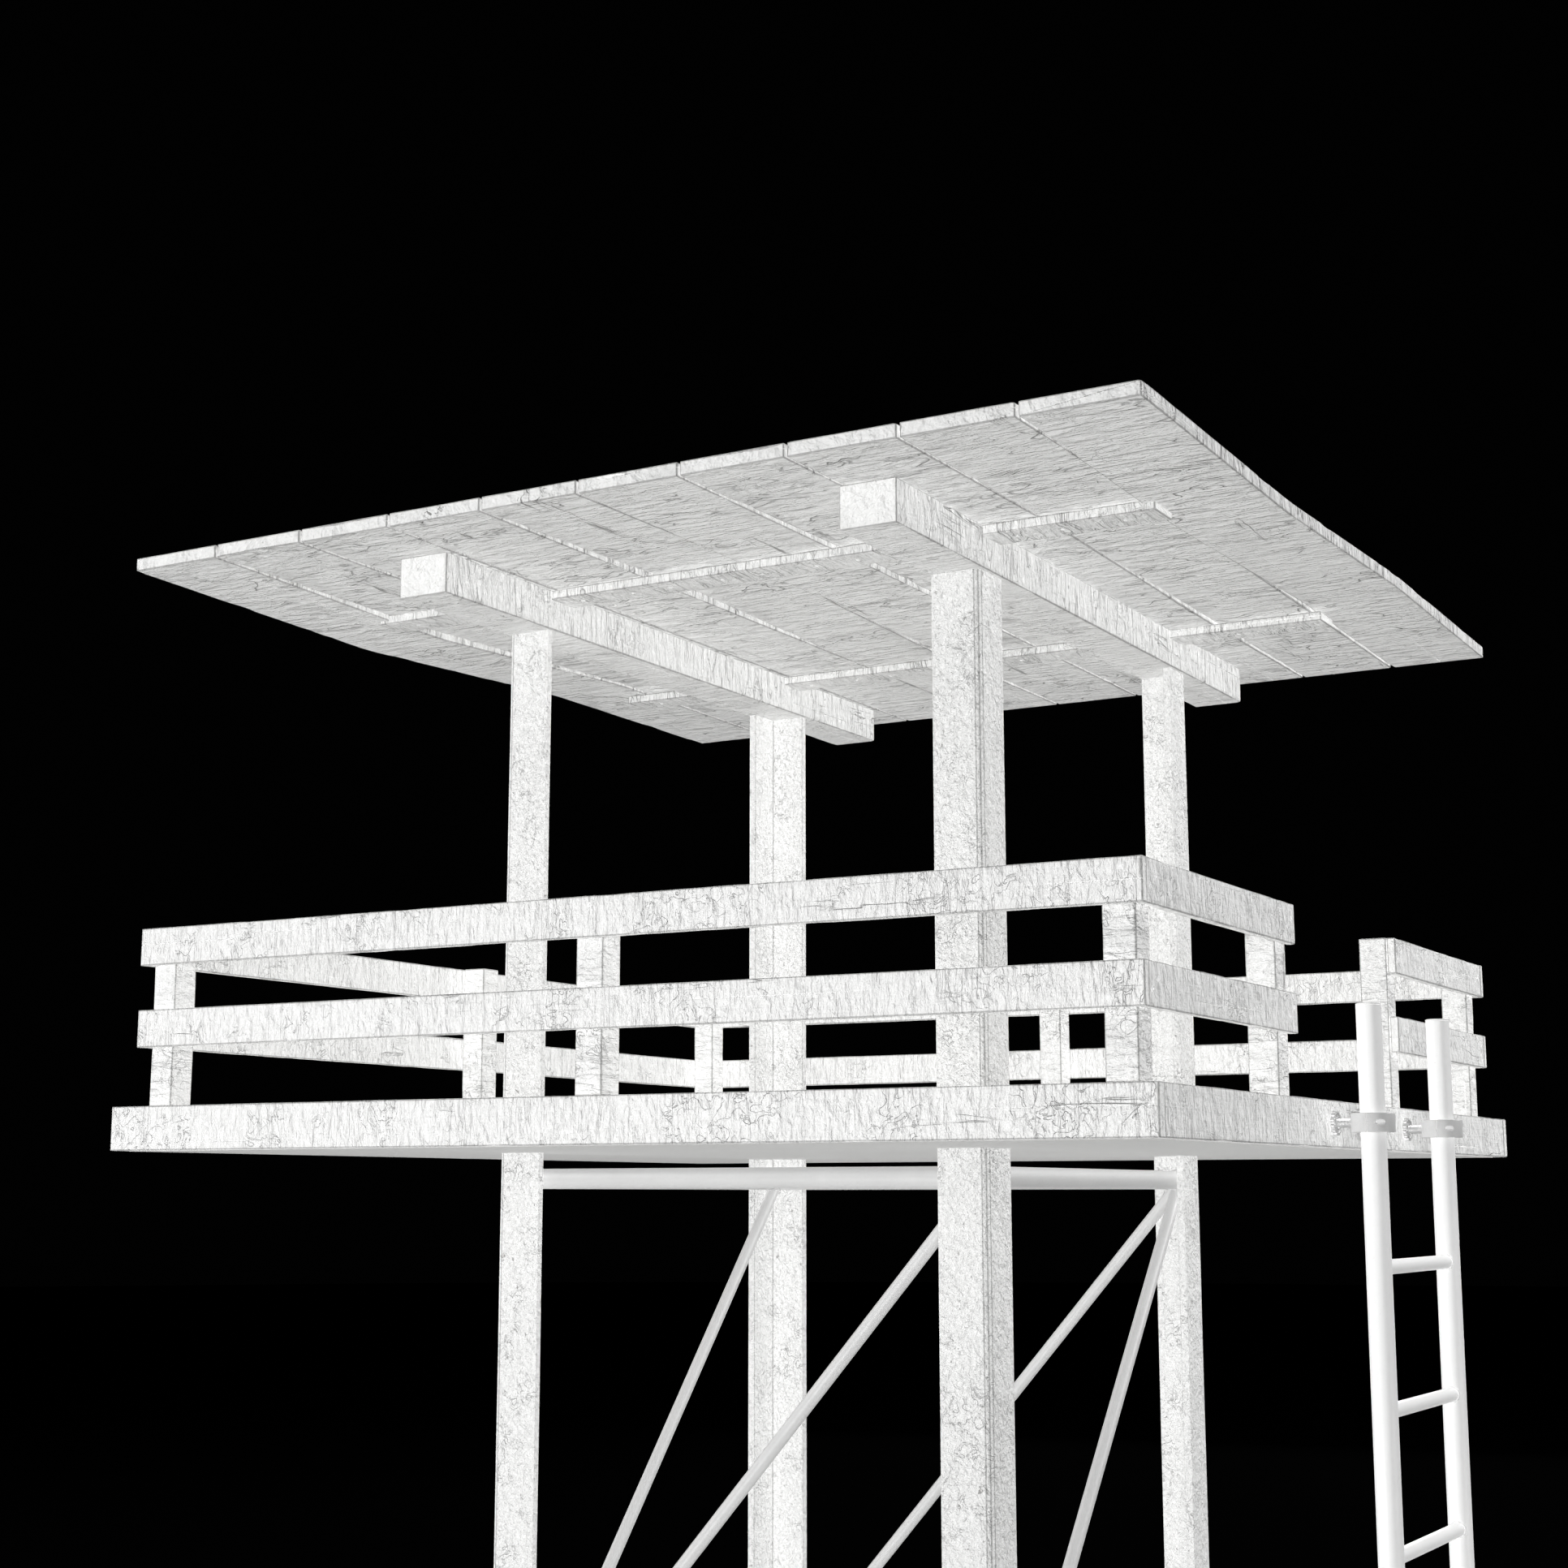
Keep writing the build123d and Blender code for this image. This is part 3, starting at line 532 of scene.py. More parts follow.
def face_columns(half, cracks):
    """Places across one face of a section: (place, crack or None). A crack takes three close places."""
    count = max(2, round(2 * half / COLUMN))
    even = [-half + 2 * half * index / count for index in range(count + 1)]
    if half > 2 * ARRIS_COLUMN:
        even += [ARRIS_COLUMN - half, half - ARRIS_COLUMN]
    places = [(place, None) for place in sorted(even)]
    for crack in cracks:
        centre = crack["across"] * half * CRACK_SPREAD
        places = [item for item in places if abs(item[0] - centre) > CRACK_ROOM or abs(item[0]) == half]
        places += [(centre - CRACK_HALF_WIDTH, None), (centre, crack), (centre + CRACK_HALF_WIDTH, None)]
    return sorted(places, key=lambda item: item[0])


def turned(way, out, beside):
    """The point so far out along a way in the plane, and so far to the left of it."""
    return way[0] * out - way[1] * beside, way[1] * out + way[0] * beside


def section_points(half_a, half_b, arris, cracks):
    """The points round a board's section: (a, b, normal a, normal b, whether on an arris, crack)."""
    points = []
    for index, normal in enumerate(((0, -1), (1, 0), (0, 1), (-1, 0))):
        half_along, half_out = (half_b, half_a) if normal[0] else (half_a, half_b)
        own = [crack for crack in cracks if crack["face"] == index]
        for place, crack in face_columns(half_along - arris, own):
            edge = abs(place) > half_along - arris - TOUCH
            points.append((*turned(normal, half_out, place), *normal, edge, crack))
        a, b = turned(normal, half_out - arris, half_along - arris)
        for turn in (pi / 6, pi / 3):
            normal_a, normal_b = turned(normal, cos(turn), sin(turn))
            points.append((a + arris * normal_a, b + arris * normal_b, normal_a, normal_b, True, None))
    return points


def random_cracks(rng, length, count, deep):
    """Drying cracks along a board. A share of them start at an end."""
    cracks = []
    for _ in range(count):
        at_end = rng.random() < END_CRACKS
        long = rng.uniform(0.10, 0.34) * min(length, 1.6)
        middle = rng.choice((0.0, length)) if at_end else rng.uniform(0.15, 0.85) * length
        cracks.append({
            "face": rng.randrange(4), "across": rng.uniform(-0.85, 0.85), "middle": middle,
            "half_long": long * (1.2 if at_end else 0.6), "deep": deep * rng.uniform(0.5, 1.0),
        })
    return cracks


def mark_grain(mesh, centre, ways, halves, seed, lift):
    """Gives a board's points their place in the wood's grain, and their place and limits in the board."""
    grain, spots = [], []
    for vert in mesh.vertices:
        place, a, b = ((vert.co - centre).dot(way) for way in ways)
        if lift:
            b -= lift(place + halves[0])
        spots += [place, a, b]
        grain += [place + seed, a + 0.7 * seed, b + 0.37 * seed]
    for name, values in (("grain", grain), ("spot", spots), ("half", list(halves) * len(mesh.vertices))):
        mesh.attributes.new(name, "FLOAT_VECTOR", "POINT").data.foreach_set("vector", values)


def timber(name, low, high, along, finish, node, cracks=4, deep=0.006, wane=0.0035, bow=0.0008, arris=0.0028,
           lift=None, cuts=(), station=STATION):
    """A rough-sawn board between two corners, with cracks, chipped arrises and a slight bow. Lift is a
    function of the place along it, and cuts are shapes taken out of it."""
    rng = random.Random(name)
    way, way_a, way_b = AXIS_WAYS[along]
    centre = (low + high) / 2
    size = high - low
    length = abs(size.dot(way))
    half_a, half_b = abs(size.dot(way_a)) / 2 - bow, abs(size.dot(way_b)) / 2 - bow
    arris = min(arris, 0.3 * min(half_a, half_b))
    crack_list = random_cracks(rng, length, cracks, min(deep, 0.7 * min(half_a, half_b)))
    points = section_points(half_a, half_b, arris, crack_list)
    seed = rng.uniform(0, 100)
    phase_a, phase_b = rng.uniform(0, 6.28), rng.uniform(0, 6.28)
    level = length - 2 * END_BEVEL
    count = max(6, round(level / station))
    inner = [END_BEVEL + level * index / count for index in range(count + 1)]
    verts = []
    for place in [0.0, *inner, length]:
        part = place / length
        swell = bow * sin(pi * part)
        shift_a = swell * sin(2.1 * part + phase_a)
        shift_b = swell * sin(2.7 * part + phase_b)
        if lift:
            shift_b += lift(place)
        inset = END_BEVEL if place in (0.0, length) else 0.0
        for a, b, normal_a, normal_b, edge, crack in points:
            field = noise.noise(Vector((place * 7.0 + seed, a * 14.0, b * 14.0)))
            push = SURFACE_SWELL * (field - 1.0) - inset
            if edge:
                chip = noise.noise(Vector((place * 16.0 + seed, a * 30.0, b * 30.0 + 5.0)))
                push -= wane * max(0.0, chip - 0.12)
            if crack:
                reach = 1.0 - abs(place - crack["middle"]) / crack["half_long"]
                ragged = 0.8 + 0.4 * noise.noise(Vector((place * 40.0, seed, 0.0)))
                push -= crack["deep"] * sqrt(max(0.0, reach)) * ragged
            move_a, move_b = a + normal_a * push + shift_a, b + normal_b * push + shift_b
            verts.append(centre + way * (place - length / 2) + way_a * move_a + way_b * move_b)
    piece = mesh_piece(name, capped(verts, count + 3, len(points)), finish, node, 32.0)
    if cuts:
        carve(piece, cuts)
    mark_grain(piece.data, centre, (way, way_a, way_b), (length / 2, half_a, half_b), seed, lift)


def boxes_of(node):
    """The boxes of a node's separate solids, in the order of their lowest corners."""
    work = bmesh.new()
    work.from_mesh(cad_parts[node].data)
    bmesh.ops.remove_doubles(work, verts=work.verts, dist=TOUCH)
    left = set(work.verts)
    boxes = []
    while left:
        seen, queue = set(), [next(iter(left))]
        while queue:
            vert = queue.pop()
            if vert not in seen:
                seen.add(vert)
                queue += [edge.other_vert(vert) for edge in vert.link_edges]
        left -= seen
        low = Vector([min(vert.co[axis] for vert in seen) for axis in range(3)])
        high = Vector([max(vert.co[axis] for vert in seen) for axis in range(3)])
        boxes.append((low, high))
    work.free()
    return sorted(boxes, key=lambda box: tuple(round(part, 4) for part in box[0]))


def longest_axis(low, high):
    """The letter of a box's longest side."""
    size = high - low
    return "XYZ"[max(range(3), key=lambda axis: size[axis])]


def timber_node(node, finish, **settings):
    """Every solid of a node as timber."""
    boxes = boxes_of(node)
    for index, (low, high) in enumerate(boxes):
        name = f"{node}_{index + 1}_wood" if len(boxes) > 1 else f"{node}_wood"
        timber(name, low, high, longest_axis(low, high), finish, node, **settings)


def surface_of(*nodes):
    """A search tree over the faces of some CAD nodes."""
    shapes = []
    for node in nodes:
        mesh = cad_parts[node].data
        verts = [vert.co.copy() for vert in mesh.vertices]
        shapes.append((verts, [tuple(face.vertices) for face in mesh.polygons]))
    return BVHTree.FromPolygons(*merged(shapes))


def plank_lift(surface, x, low_y, nominal):
    """How far a roof plank's top stands above its nominal height, by the place along it."""
    longest = 2 * abs(low_y) - PLANK_PROBE_INSET

    def probe(place):
        y = low_y + min(max(place, PLANK_PROBE_INSET), longest)
        hit = surface.ray_cast(Vector((x, y, nominal + 1.0)), -Z_WAY)[0]
        return hit.z - nominal if hit else 0.0

    def lift(place):
        return sum(probe(place + step) for step in PLANK_PROBES) / len(PLANK_PROBES)
    return lift


def roof_planks(finish):
    """The bowed roof planks, each following its own solid."""
    node = "roof_planks"
    surface = surface_of(node)
    boxes = boxes_of(node)
    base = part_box("roof_beam_left")[1].z
    top = min(high.z for low, high in boxes)
    for index, (low, high) in enumerate(boxes):
        deep = random.Random(f"plank {index}").uniform(0.006, 0.011)
        lift = plank_lift(surface, (low.x + high.x) / 2, low.y, top)
        low.z, high.z = base, top
        timber(f"roof_plank_{index + 1}", low, high, "Y", finish, node, cracks=9, deep=deep, wane=0.0045,
               bow=0.0012, arris=0.0022, lift=lift)


# ---- steel pieces

def arc(centre_x, centre_y, radius, start, end, count=4):
    """Points along an arc, its angles in degrees."""
    points = []
    for index in range(count + 1):
        turn = radians(start + (end - start) * index / count)
        points.append((centre_x + radius * cos(turn), centre_y + radius * sin(turn)))
    return points


def angle_outline(width, thick, root, toe, heel):
    """A rolled angle's section with its heel at the origin and legs along +X and +Y."""
    points = arc(heel, heel, heel, 180, 270, 8)
    points += [(width / 3, 0), (2 * width / 3, 0), (width, 0)]
    points += arc(width - toe, thick - toe, toe, 0, 90)
    points += arc(thick + root, thick + root, root, 270, 180)
    points += arc(thick - toe, width - toe, toe, 0, 90)
    points += [(0, width), (0, 2 * width / 3), (0, width / 3)]
    return points


def steel_leg(corner, finish):
    """One leg: a rolled angle with its heel outwards, slightly uneven along its length."""
    node = f"leg_{corner}"
    low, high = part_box(node)
    wall_x = min(abs(low.x), abs(high.x))
    width = high.x - low.x
    sign_x, sign_y = copysign(1, low.x), copysign(1, low.y)
    outline = angle_outline(width, LEG_THICK, LEG_ROOT, LEG_TOE, LEG_HEEL)
    seed = sum(ord(letter) for letter in corner)
    verts = []
    for row in range(LEG_ROWS + 1):
        z = low.z + (high.z - low.z) * row / LEG_ROWS
        for x, y in outline:
            sway = LEG_SWAY * noise.noise(Vector((x * 9.0 + seed, y * 9.0, z * 3.0)))
            outer_x, outer_y = wall_x + width - x + sway, wall_x + width - y + sway
            verts.append((sign_x * outer_x, sign_y * outer_y, z))
    columns = len(outline)
    piece = mesh_piece(f"{node}_steel", capped(verts, LEG_ROWS + 1, columns), finish, node)
    # The marked columns get the paint's dark line of shade along their arrises
    marks = [float(column in LEG_SHADE_LINE_COLUMNS) for column in range(columns)] * (LEG_ROWS + 1)
    piece.data.attributes.new("edge", "FLOAT", "POINT").data.foreach_set("value", marks)


def bead(loop, radius, seed=0):
    """A weld bead swept round a closed loop of points, with the ripples of a hand weld."""
    rng = random.Random(seed)
    centre = sum(loop, Vector()) / len(loop)
    verts = []
    for index, point in enumerate(loop):
        ahead = (loop[(index + 1) % len(loop)] - loop[index - 1]).normalized()
        out = point - centre
        out = (out - ahead * out.dot(ahead)).normalized()
        up = ahead.cross(out)
        ripple = radius * (1.0 + 0.16 * sin(index * 1.9) + rng.uniform(-0.10, 0.10))
        verts += [round_at(point, out, up, ripple, turn) for turn in turns(WELD_SIDES)]
    return verts, grid_faces(len(loop), WELD_SIDES, closed=True)


def joint_bead(middle, toward, radius, surface, size, count=44):
    """The weld where a round bar meets other parts. Its outline is found along the bar's own surface."""
    way = (toward - middle).normalized()
    side = way.orthogonal().normalized()
    up = way.cross(side)
    reach = (toward - middle).length
    loop = []
    for turn in turns(count):
        out = side * cos(turn) + up * sin(turn)
        hit = surface.ray_cast(middle + out * (radius - WELD_PROBE_SUNK), way)[0]
        end = min((hit - middle).dot(way), reach) if hit else reach
        loop.append(middle + out * radius + way * end)
    return bead(loop, size, count)


def pipe(start, end, radius, bore, step=0.15, sides=40):
    """An open tube between two points, with faint dents."""
    length = (end - start).length
    count = max(1, round(length / step))
    places = [length * index / count for index in range(count + 1)]

    def dented(turn, distance):
        place = Vector((cos(turn), sin(turn), distance * 4.0)) + start
        return radius - PIPE_DENT + PIPE_DENT * noise.noise(place)

    rim = radius - PIPE_DENT - PIPE_END
    middle = [(place, dented) for place in (PIPE_END, *places[1:-1], length - PIPE_END)]
    profile = [(0.0, rim), *middle, (length, rim), (length, bore), (0.0, bore)]
    return turning(start, end - start, profile, sides, closed=True)


def leg_corners(play=0.0):
    """The plan corners of the leg at +X +Y with some play round it, from its heel on."""
    outer, inner, toe = LEG_FACE + play, LEG_FACE - LEG_THICK - play, LEG_FACE - LEG_REACH - play
    return [(outer, outer), (toe, outer), (toe, inner), (inner, inner), (inner, toe), (outer, toe)]


def deck_board_cuts():
    """The legs' openings through the deck, rounded at the heel."""
    (outer, _), *others = leg_corners(SLOT_PLAY)
    heel = LEG_HEEL + SLOT_PLAY
    outline = arc(outer - heel, outer - heel, heel, 0, 90) + others
    signs = [(sign_x, sign_y) for sign_x in (-1, 1) for sign_y in (-1, 1)]
    return [prism([(sign_x * x, sign_y * y) for x, y in outline], DECK_TOP - DECK_CUT, DECK_TOP + DECK_CUT)
            for sign_x, sign_y in signs]


def crosses(low, high, shape):
    """Whether a cutting shape's box overlaps a board's."""
    places = list(zip(*shape[0]))
    return all(max(places[axis]) > low[axis] and min(places[axis]) < high[axis] for axis in range(3))


def deck_boards(finish):
    """The deck's boards, cut round the legs."""
    cuts = deck_board_cuts()
    for index, (low, high) in enumerate(boxes_of("deck_boards")):
        own = [shape for shape in cuts if crosses(low, high, shape)]
        timber(f"deck_board_{index + 1}", low, high, "X", finish, "deck_boards", deep=0.005, cuts=own)


def roof_beams(finish):
    """The two roof beams, notched for the battens."""
    play = Vector((0.5, NOTCH_PLAY, NOTCH_PLAY))
    battens = [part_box(f"roof_batten_{place}") for place in ("front", "rear")]
    notches = [box_shape(low - play, high + play) for low, high in battens]
    for side in ("left", "right"):
        node = f"roof_beam_{side}"
        timber(f"{node}_wood", *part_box(node), "Y", finish, node, cracks=7, deep=0.011, wane=0.0045,
               arris=0.004, cuts=notches)


def foot_plate(low, high):
    """A square foot plate with eased top edges."""
    centre, half = (low + high) / 2, (high.x - low.x) / 2
    rows = ((low.z, 0.0008), (low.z + 0.001, 0.0), (high.z - 0.0025, 0.0), (high.z, 0.0025))
    verts = []
    for z, inset in rows:
        reach = half - inset
        for corner_x, corner_y, turn in CORNERS:
            bend = reach - FOOT_CORNER
            arc_points = arc(corner_x * bend, corner_y * bend, FOOT_CORNER, turn, turn + 90)
            verts += [Vector((centre.x + x, centre.y + y, z)) for x, y in arc_points]
    return capped(verts, len(rows), len(verts) // len(rows))


def foot_holes(low, high):
    """The four anchor holes of a foot plate as cutting shapes."""
    centre = (low + high) / 2
    shapes = []
    for x in (-FOOT_HOLE_AT, FOOT_HOLE_AT):
        for y in (-FOOT_HOLE_AT, FOOT_HOLE_AT):
            start = Vector((centre.x + x, centre.y + y, low.z - 0.01))
            shapes.append(turning(start, Z_WAY, [(0.0, FOOT_HOLE_R), (0.05, FOOT_HOLE_R)], 40))
    return shapes


def leg_weld(low, high):
    """The weld round a leg's foot."""
    centre = (low + high) / 2
    sign_x, sign_y = copysign(1, centre.x), copysign(1, centre.y)
    corners = leg_corners()
    loop = []
    for (x, y), (next_x, next_y) in zip(corners, corners[1:] + corners[:1]):
        count = max(3, round(hypot(next_x - x, next_y - y) / WELD_STEP))
        for step in range(count):
            part = step / count
            at_x, at_y = x + (next_x - x) * part, y + (next_y - y) * part
            loop.append(Vector((sign_x * at_x, sign_y * at_y, high.z)))
    return bead(loop, LEG_WELD_R, round(1000 * centre.x + centre.y))


def line_of(low, high):
    """The two ends of the axis of a long thin box."""
    axis = "XYZ".index(longest_axis(low, high))
    centre = (low + high) / 2
    start, end = centre.copy(), centre.copy()
    start[axis], end[axis] = low[axis], high[axis]
    return start, end


def ring_tubes(paint):
    """The two rings of tubes between the legs, with their welds."""
    legs = surface_of(*LEG_NODES)
    tubes = [(node, *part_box(node)) for node in UPPER_RING_NODES]
    tubes += [("lower_ring", low, high) for low, high in boxes_of("lower_ring")]
    rings = surface_of("upper_ring_front", "upper_ring_rear", "lower_ring")
    welds, lower = [], []
    for node, low, high in tubes:
        start, end = line_of(low, high)
        radius = (high.z - low.z) / 2
        shape = pipe(start, end, radius, radius - RING_WALL)
        if node == "lower_ring":
            lower.append(shape)
        else:
            mesh_piece(f"{node}_tube", shape, paint, node)
        surface = legs if longest_axis(low, high) == "X" else rings
        for toward in (start, end):
            near_end = toward + ((start + end) / 2 - toward).normalized() * WELD_REACH
            welds.append(joint_bead(near_end, toward, radius, surface, RING_WELD_R))
    mesh_piece("lower_ring_tubes", merged(lower), paint, "lower_ring")
    mesh_piece("ring_welds", merged(welds), paint, flat_above=60.0)


def brace_line(node):
    """The axis of a diagonal brace, from its lower end to its upper end, through the rings' corners."""
    rings = boxes_of("lower_ring")[0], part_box("upper_ring_front")
    bottom, top = ((low.z + high.z) / 2 for low, high in rings)
    low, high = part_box(node)
    middle = (low + high) / 2
    if node.endswith(("front", "rear")):
        return Vector((-BRACE_REACH, middle.y, bottom)), Vector((BRACE_REACH, middle.y, top))
    return Vector((middle.x, -BRACE_REACH, bottom)), Vector((middle.x, BRACE_REACH, top))


def braces(paint):
    """The four diagonal tubes, with their welds to the rings and legs."""
    surface = surface_of(*LEG_NODES, *UPPER_RING_NODES, "lower_ring")
    welds = []
    for side in ("front", "left", "rear", "right"):
        node = f"brace_{side}"
        start, end = brace_line(node)
        shape = pipe(start, end, BRACE_R, BRACE_R - BRACE_WALL, sides=32)
        mesh_piece(f"{node}_tube", shape, paint, node)
        middle = (start + end) / 2
        welds += [joint_bead(middle, point, BRACE_R, surface, BRACE_WELD_R) for point in (start, end)]
    mesh_piece("brace_welds", merged(welds), paint, flat_above=60.0)


def feet(paint):
    """The foot plates, their anchor holes and the welds round the legs."""
    boxes = boxes_of("foot_plates")
    plates, welds = (merged([make_shape(*box) for box in boxes]) for make_shape in (foot_plate, leg_weld))
    piece = mesh_piece("foot_plates_steel", plates, paint, "foot_plates", 32.0)
    carve(piece, [shape for box in boxes for shape in foot_holes(*box)])
    mesh_piece("foot_welds", welds, paint, flat_above=60.0)


# ---- ladder and clamps

def foot_profile():
    """The outline of a ribbed rubber foot, which narrows upwards and is hollow where the stile stands."""
    profile = [(0.0, 0.0318), (0.0012, 0.0336)]
    for index in range(FOOT_RIBS):
        z = 0.004 + FOOT_RIB_PITCH * index
        shrink = 0.0024 * z / 0.045
        profile += [(z, 0.0339 - shrink), (z + 0.0040, 0.0338 - shrink), (z + 0.0048, 0.0322 - shrink),
                    (z + 0.0066, 0.0322 - shrink)]
    hollow = [(0.0449, STILE_R), (0.0082, STILE_R), (0.0082, 0.004)]
    return profile + [(0.0436, 0.0314), (0.0449, 0.0304)] + hollow


def ladder(paint, plastic, rubber):
    """Stiles, rungs with their welds, caps and ribbed rubber feet."""
    stiles = ("ladder_stile_front", "ladder_stile_rear")
    caps, cups, tubes, welds = [], [], [], []
    for node in stiles:
        low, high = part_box(node)
        start, end = line_of(low, high)
        shape = pipe(start, end, STILE_R, STILE_R - STILE_WALL, step=0.08, sides=48)
        mesh_piece(f"{node}_tube", shape, paint, node, body="ladder")
        caps.append(turning(end, Z_WAY, CAP_PROFILE))
        cups.append(turning(Vector((start.x, start.y, 0.0)), Z_WAY, foot_profile()))
    mesh_piece("ladder_caps_moulded", merged(caps), plastic, "ladder_stile_caps", 50.0, "ladder")
    mesh_piece("ladder_feet_moulded", merged(cups), rubber, "ladder_feet", 50.0, "ladder")
    posts = surface_of(*stiles)
    sunk = Y_WAY * RUNG_SUNK
    for low, high in boxes_of("ladder_rungs"):
        start, end = line_of(low, high)
        radius = (high.z - low.z) / 2
        middle = (start + end) / 2
        start, end = start - sunk, end + sunk
        tubes.append(pipe(start, end, radius, radius - RUNG_WALL, sides=36))
        welds += [joint_bead(middle, point, radius, posts, RUNG_WELD_R) for point in (start, end)]
    mesh_piece("ladder_rung_tubes", merged(tubes), paint, "ladder_rungs", body="ladder")
    mesh_piece("ladder_rung_welds", merged(welds), paint, None, 60.0, "ladder")


def clamp_half(node, outer_side):
    """Half of a clamp: a thick band swept round half a turn, its edges rounded."""
    low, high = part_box(node)
    centre_y, centre_z = (low.y + high.y) / 2, (low.z + high.z) / 2
    outer_r = (high.y - low.y) / 2
    half_high = (high.z - low.z) / 2
    gap = degrees(asin(CLAMP_GAP / 2 / CLAMP_BORE))
    start, end = (-90 + gap, 90 - gap) if outer_side else (90 + gap, 270 - gap)
    section = []
    for side_r, side_z, turn in CORNERS:
        middle_r = (outer_r + CLAMP_BORE) / 2 + side_r * ((outer_r - CLAMP_BORE) / 2 - CLAMP_EDGE)
        section += arc(middle_r, side_z * (half_high - CLAMP_EDGE), CLAMP_EDGE, turn, turn + 90, 3)
    verts = []
    for row in range(CLAMP_ROWS):
        turn = radians(start + (end - start) * row / (CLAMP_ROWS - 1))
        for reach, z in section:
            x, y = LADDER_X + reach * cos(turn), centre_y + reach * sin(turn)
            verts.append(Vector((x, y, centre_z + z)))
    return capped(verts, CLAMP_ROWS, len(section))


def hexed(apothem):
    """A hexagon's radius, as a function for turning()."""
    def radius(turn, _distance):
        return apothem / cos((turn % (pi / 3)) - pi / 6)
    return radius


def socket_bolt(low, high):
    """A socket bolt along X: shank, knurled head and hexagon socket."""
    radius = (high.y - low.y) / 2
    top = high.x - low.x
    seat = top - BOLT_HEAD

    def knurled(turn, _distance):
        return radius - 0.0002 - 0.0002 * abs(sin(12 * turn))

    socket = hexed(BOLT_SOCKET)
    shank = [(0.0, BOLT_R - 0.0008), (0.0008, BOLT_R), (seat, BOLT_R)]
    head = [(seat, radius - 0.0006), (seat + 0.0006, knurled), (top - 0.0010, knurled),
            (top - 0.0002, radius - 0.0010), (top, radius - 0.0016), (top, socket), (top - 0.0038, socket)]
    return turning_x(low, high, shank + head)


def threaded(low, high, pitch=0.0025, deep=0.0014):
    """A threaded rod along X, its ends tapered."""
    radius = (high.z - low.z) / 2
    length = high.x - low.x
    count = round(length / pitch * 6)

    def thread(turn, distance):
        phase = (distance / pitch - turn / (2 * pi)) % 1.0
        rise = 1.0 - abs(2.0 * phase - 1.0)
        end = min(distance, length - distance)
        return radius - 0.0001 - deep * (1.0 - min(1.0, 1.35 * rise)) - max(0.0, 0.0016 - end)

    return turning_x(low, high, [(length * index / count, thread) for index in range(count + 1)])


def lock_wheel(low, high):
    """A scalloped hand nut with eased lobes and a sunk face."""
    thick = high.x - low.x

    def scalloped(inset):
        def radius(turn, _distance):
            step = 2 * pi / WHEEL_LOBES
            off = (turn + step / 2) % step - step / 2
            across = WHEEL_BODY_R * sin(off)
            lobe = WHEEL_BODY_R * cos(off) + sqrt(max(0.0, WHEEL_LOBE_R ** 2 - across ** 2))
            return (lobe if abs(across) < WHEEL_LOBE_R else WHEEL_BODY_R) - inset
        return radius

    rounded = [(0.0, scalloped(0.0014)), (0.0004, scalloped(0.0005)), (0.0012, scalloped(0.0))]
    rim = rounded + [(thick - distance, radius) for distance, radius in reversed(rounded)]
    face = [(thick - sunk, radius) for sunk, radius in WHEEL_FACE]
    bore = [(thick - 0.0009, WHEEL_BORE), (0.0009, WHEEL_BORE), (0.0, WHEEL_MOUTH)]
    return turning_x(low, high, rim + face + bore, WHEEL_SIDES, closed=True)


def bolt_seat(low, high):
    """Where a clamp bolt's head sits, as a cutting shape."""
    seat = (low + high) / 2
    seat.x = high.x - BOLT_HEAD
    return turning(seat, X_WAY, [(0.0, BOLT_SEAT_R), (0.05, BOLT_SEAT_R)], 40)


def clamps(paint, zinc):
    """Both ladder clamps: two halves each, studs, socket bolts and lock wheels."""
    bolts = boxes_of("clamp_bolts")
    for name in ("front", "rear"):
        for kind in ("inner", "outer"):
            node = f"clamp_{kind}_{name}"
            piece = mesh_piece(f"{node}_cast", clamp_half(node, kind == "outer"), paint, node)
            if kind == "outer":
                near, far = (corner.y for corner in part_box(node))
                own = [(low, high) for low, high in bolts if near < low.y and high.y < far]
                carve(piece, [bolt_seat(low, high) for low, high in own], 40.0)
        wheel = f"lock_wheel_{name}"
        mesh_piece(f"{wheel}_turned", lock_wheel(*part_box(wheel)), zinc, wheel, 28.0, wheel)
    studs = merged([threaded(low, high) for low, high in boxes_of("clamp_studs")])
    mesh_piece("clamp_studs_threaded", studs, zinc, "clamp_studs", 25.0)
    heads = merged([socket_bolt(low, high) for low, high in bolts])
    mesh_piece("clamp_bolts_socket", heads, zinc, "clamp_bolts", 30.0)


# ---- fasteners

def screw_head(centre, way, radius):
    """A painted-over countersunk head with a star recess."""
    def star(turn, _distance):
        return radius * 0.34 * (1.0 + 0.16 * cos(6 * turn))

    profile = [(-0.0040, radius * 0.45), (-0.0004, radius), (0.0001, radius), (0.0004, radius * 0.93),
               (0.0006, radius * 0.6), (0.0006, star), (-0.0014, star)]
    return turning(centre, way, profile, 24)


def screw_heads(node, finish, head_radius, facing):
    """The heads of a node's screws, a little below the wood's face. The shanks stay hidden in the wood. The
    heads face away from the stand's middle, or up or down as facing says. Other upright screws have none."""
    shapes = []
    for low, high in boxes_of(node):
        axis = "XYZ".index(longest_axis(low, high))
        if axis == 2 and facing is None:
            continue
        place = (low + high) / 2
        outward = facing or copysign(1, place[axis])
        place[axis] = high[axis] if outward > 0 else low[axis]
        way = Vector((0, 0, 0))
        way[axis] = outward
        shapes.append(screw_head(place - way * SCREW_SUNK, way, head_radius))
    mesh_piece(f"{node}_heads", merged(shapes), finish, node, 30.0)


def dress(node, material):
    """Gives a carried-over CAD node its material."""
    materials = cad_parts[node].data.materials
    materials.clear()
    materials.append(material)


# ---- the object

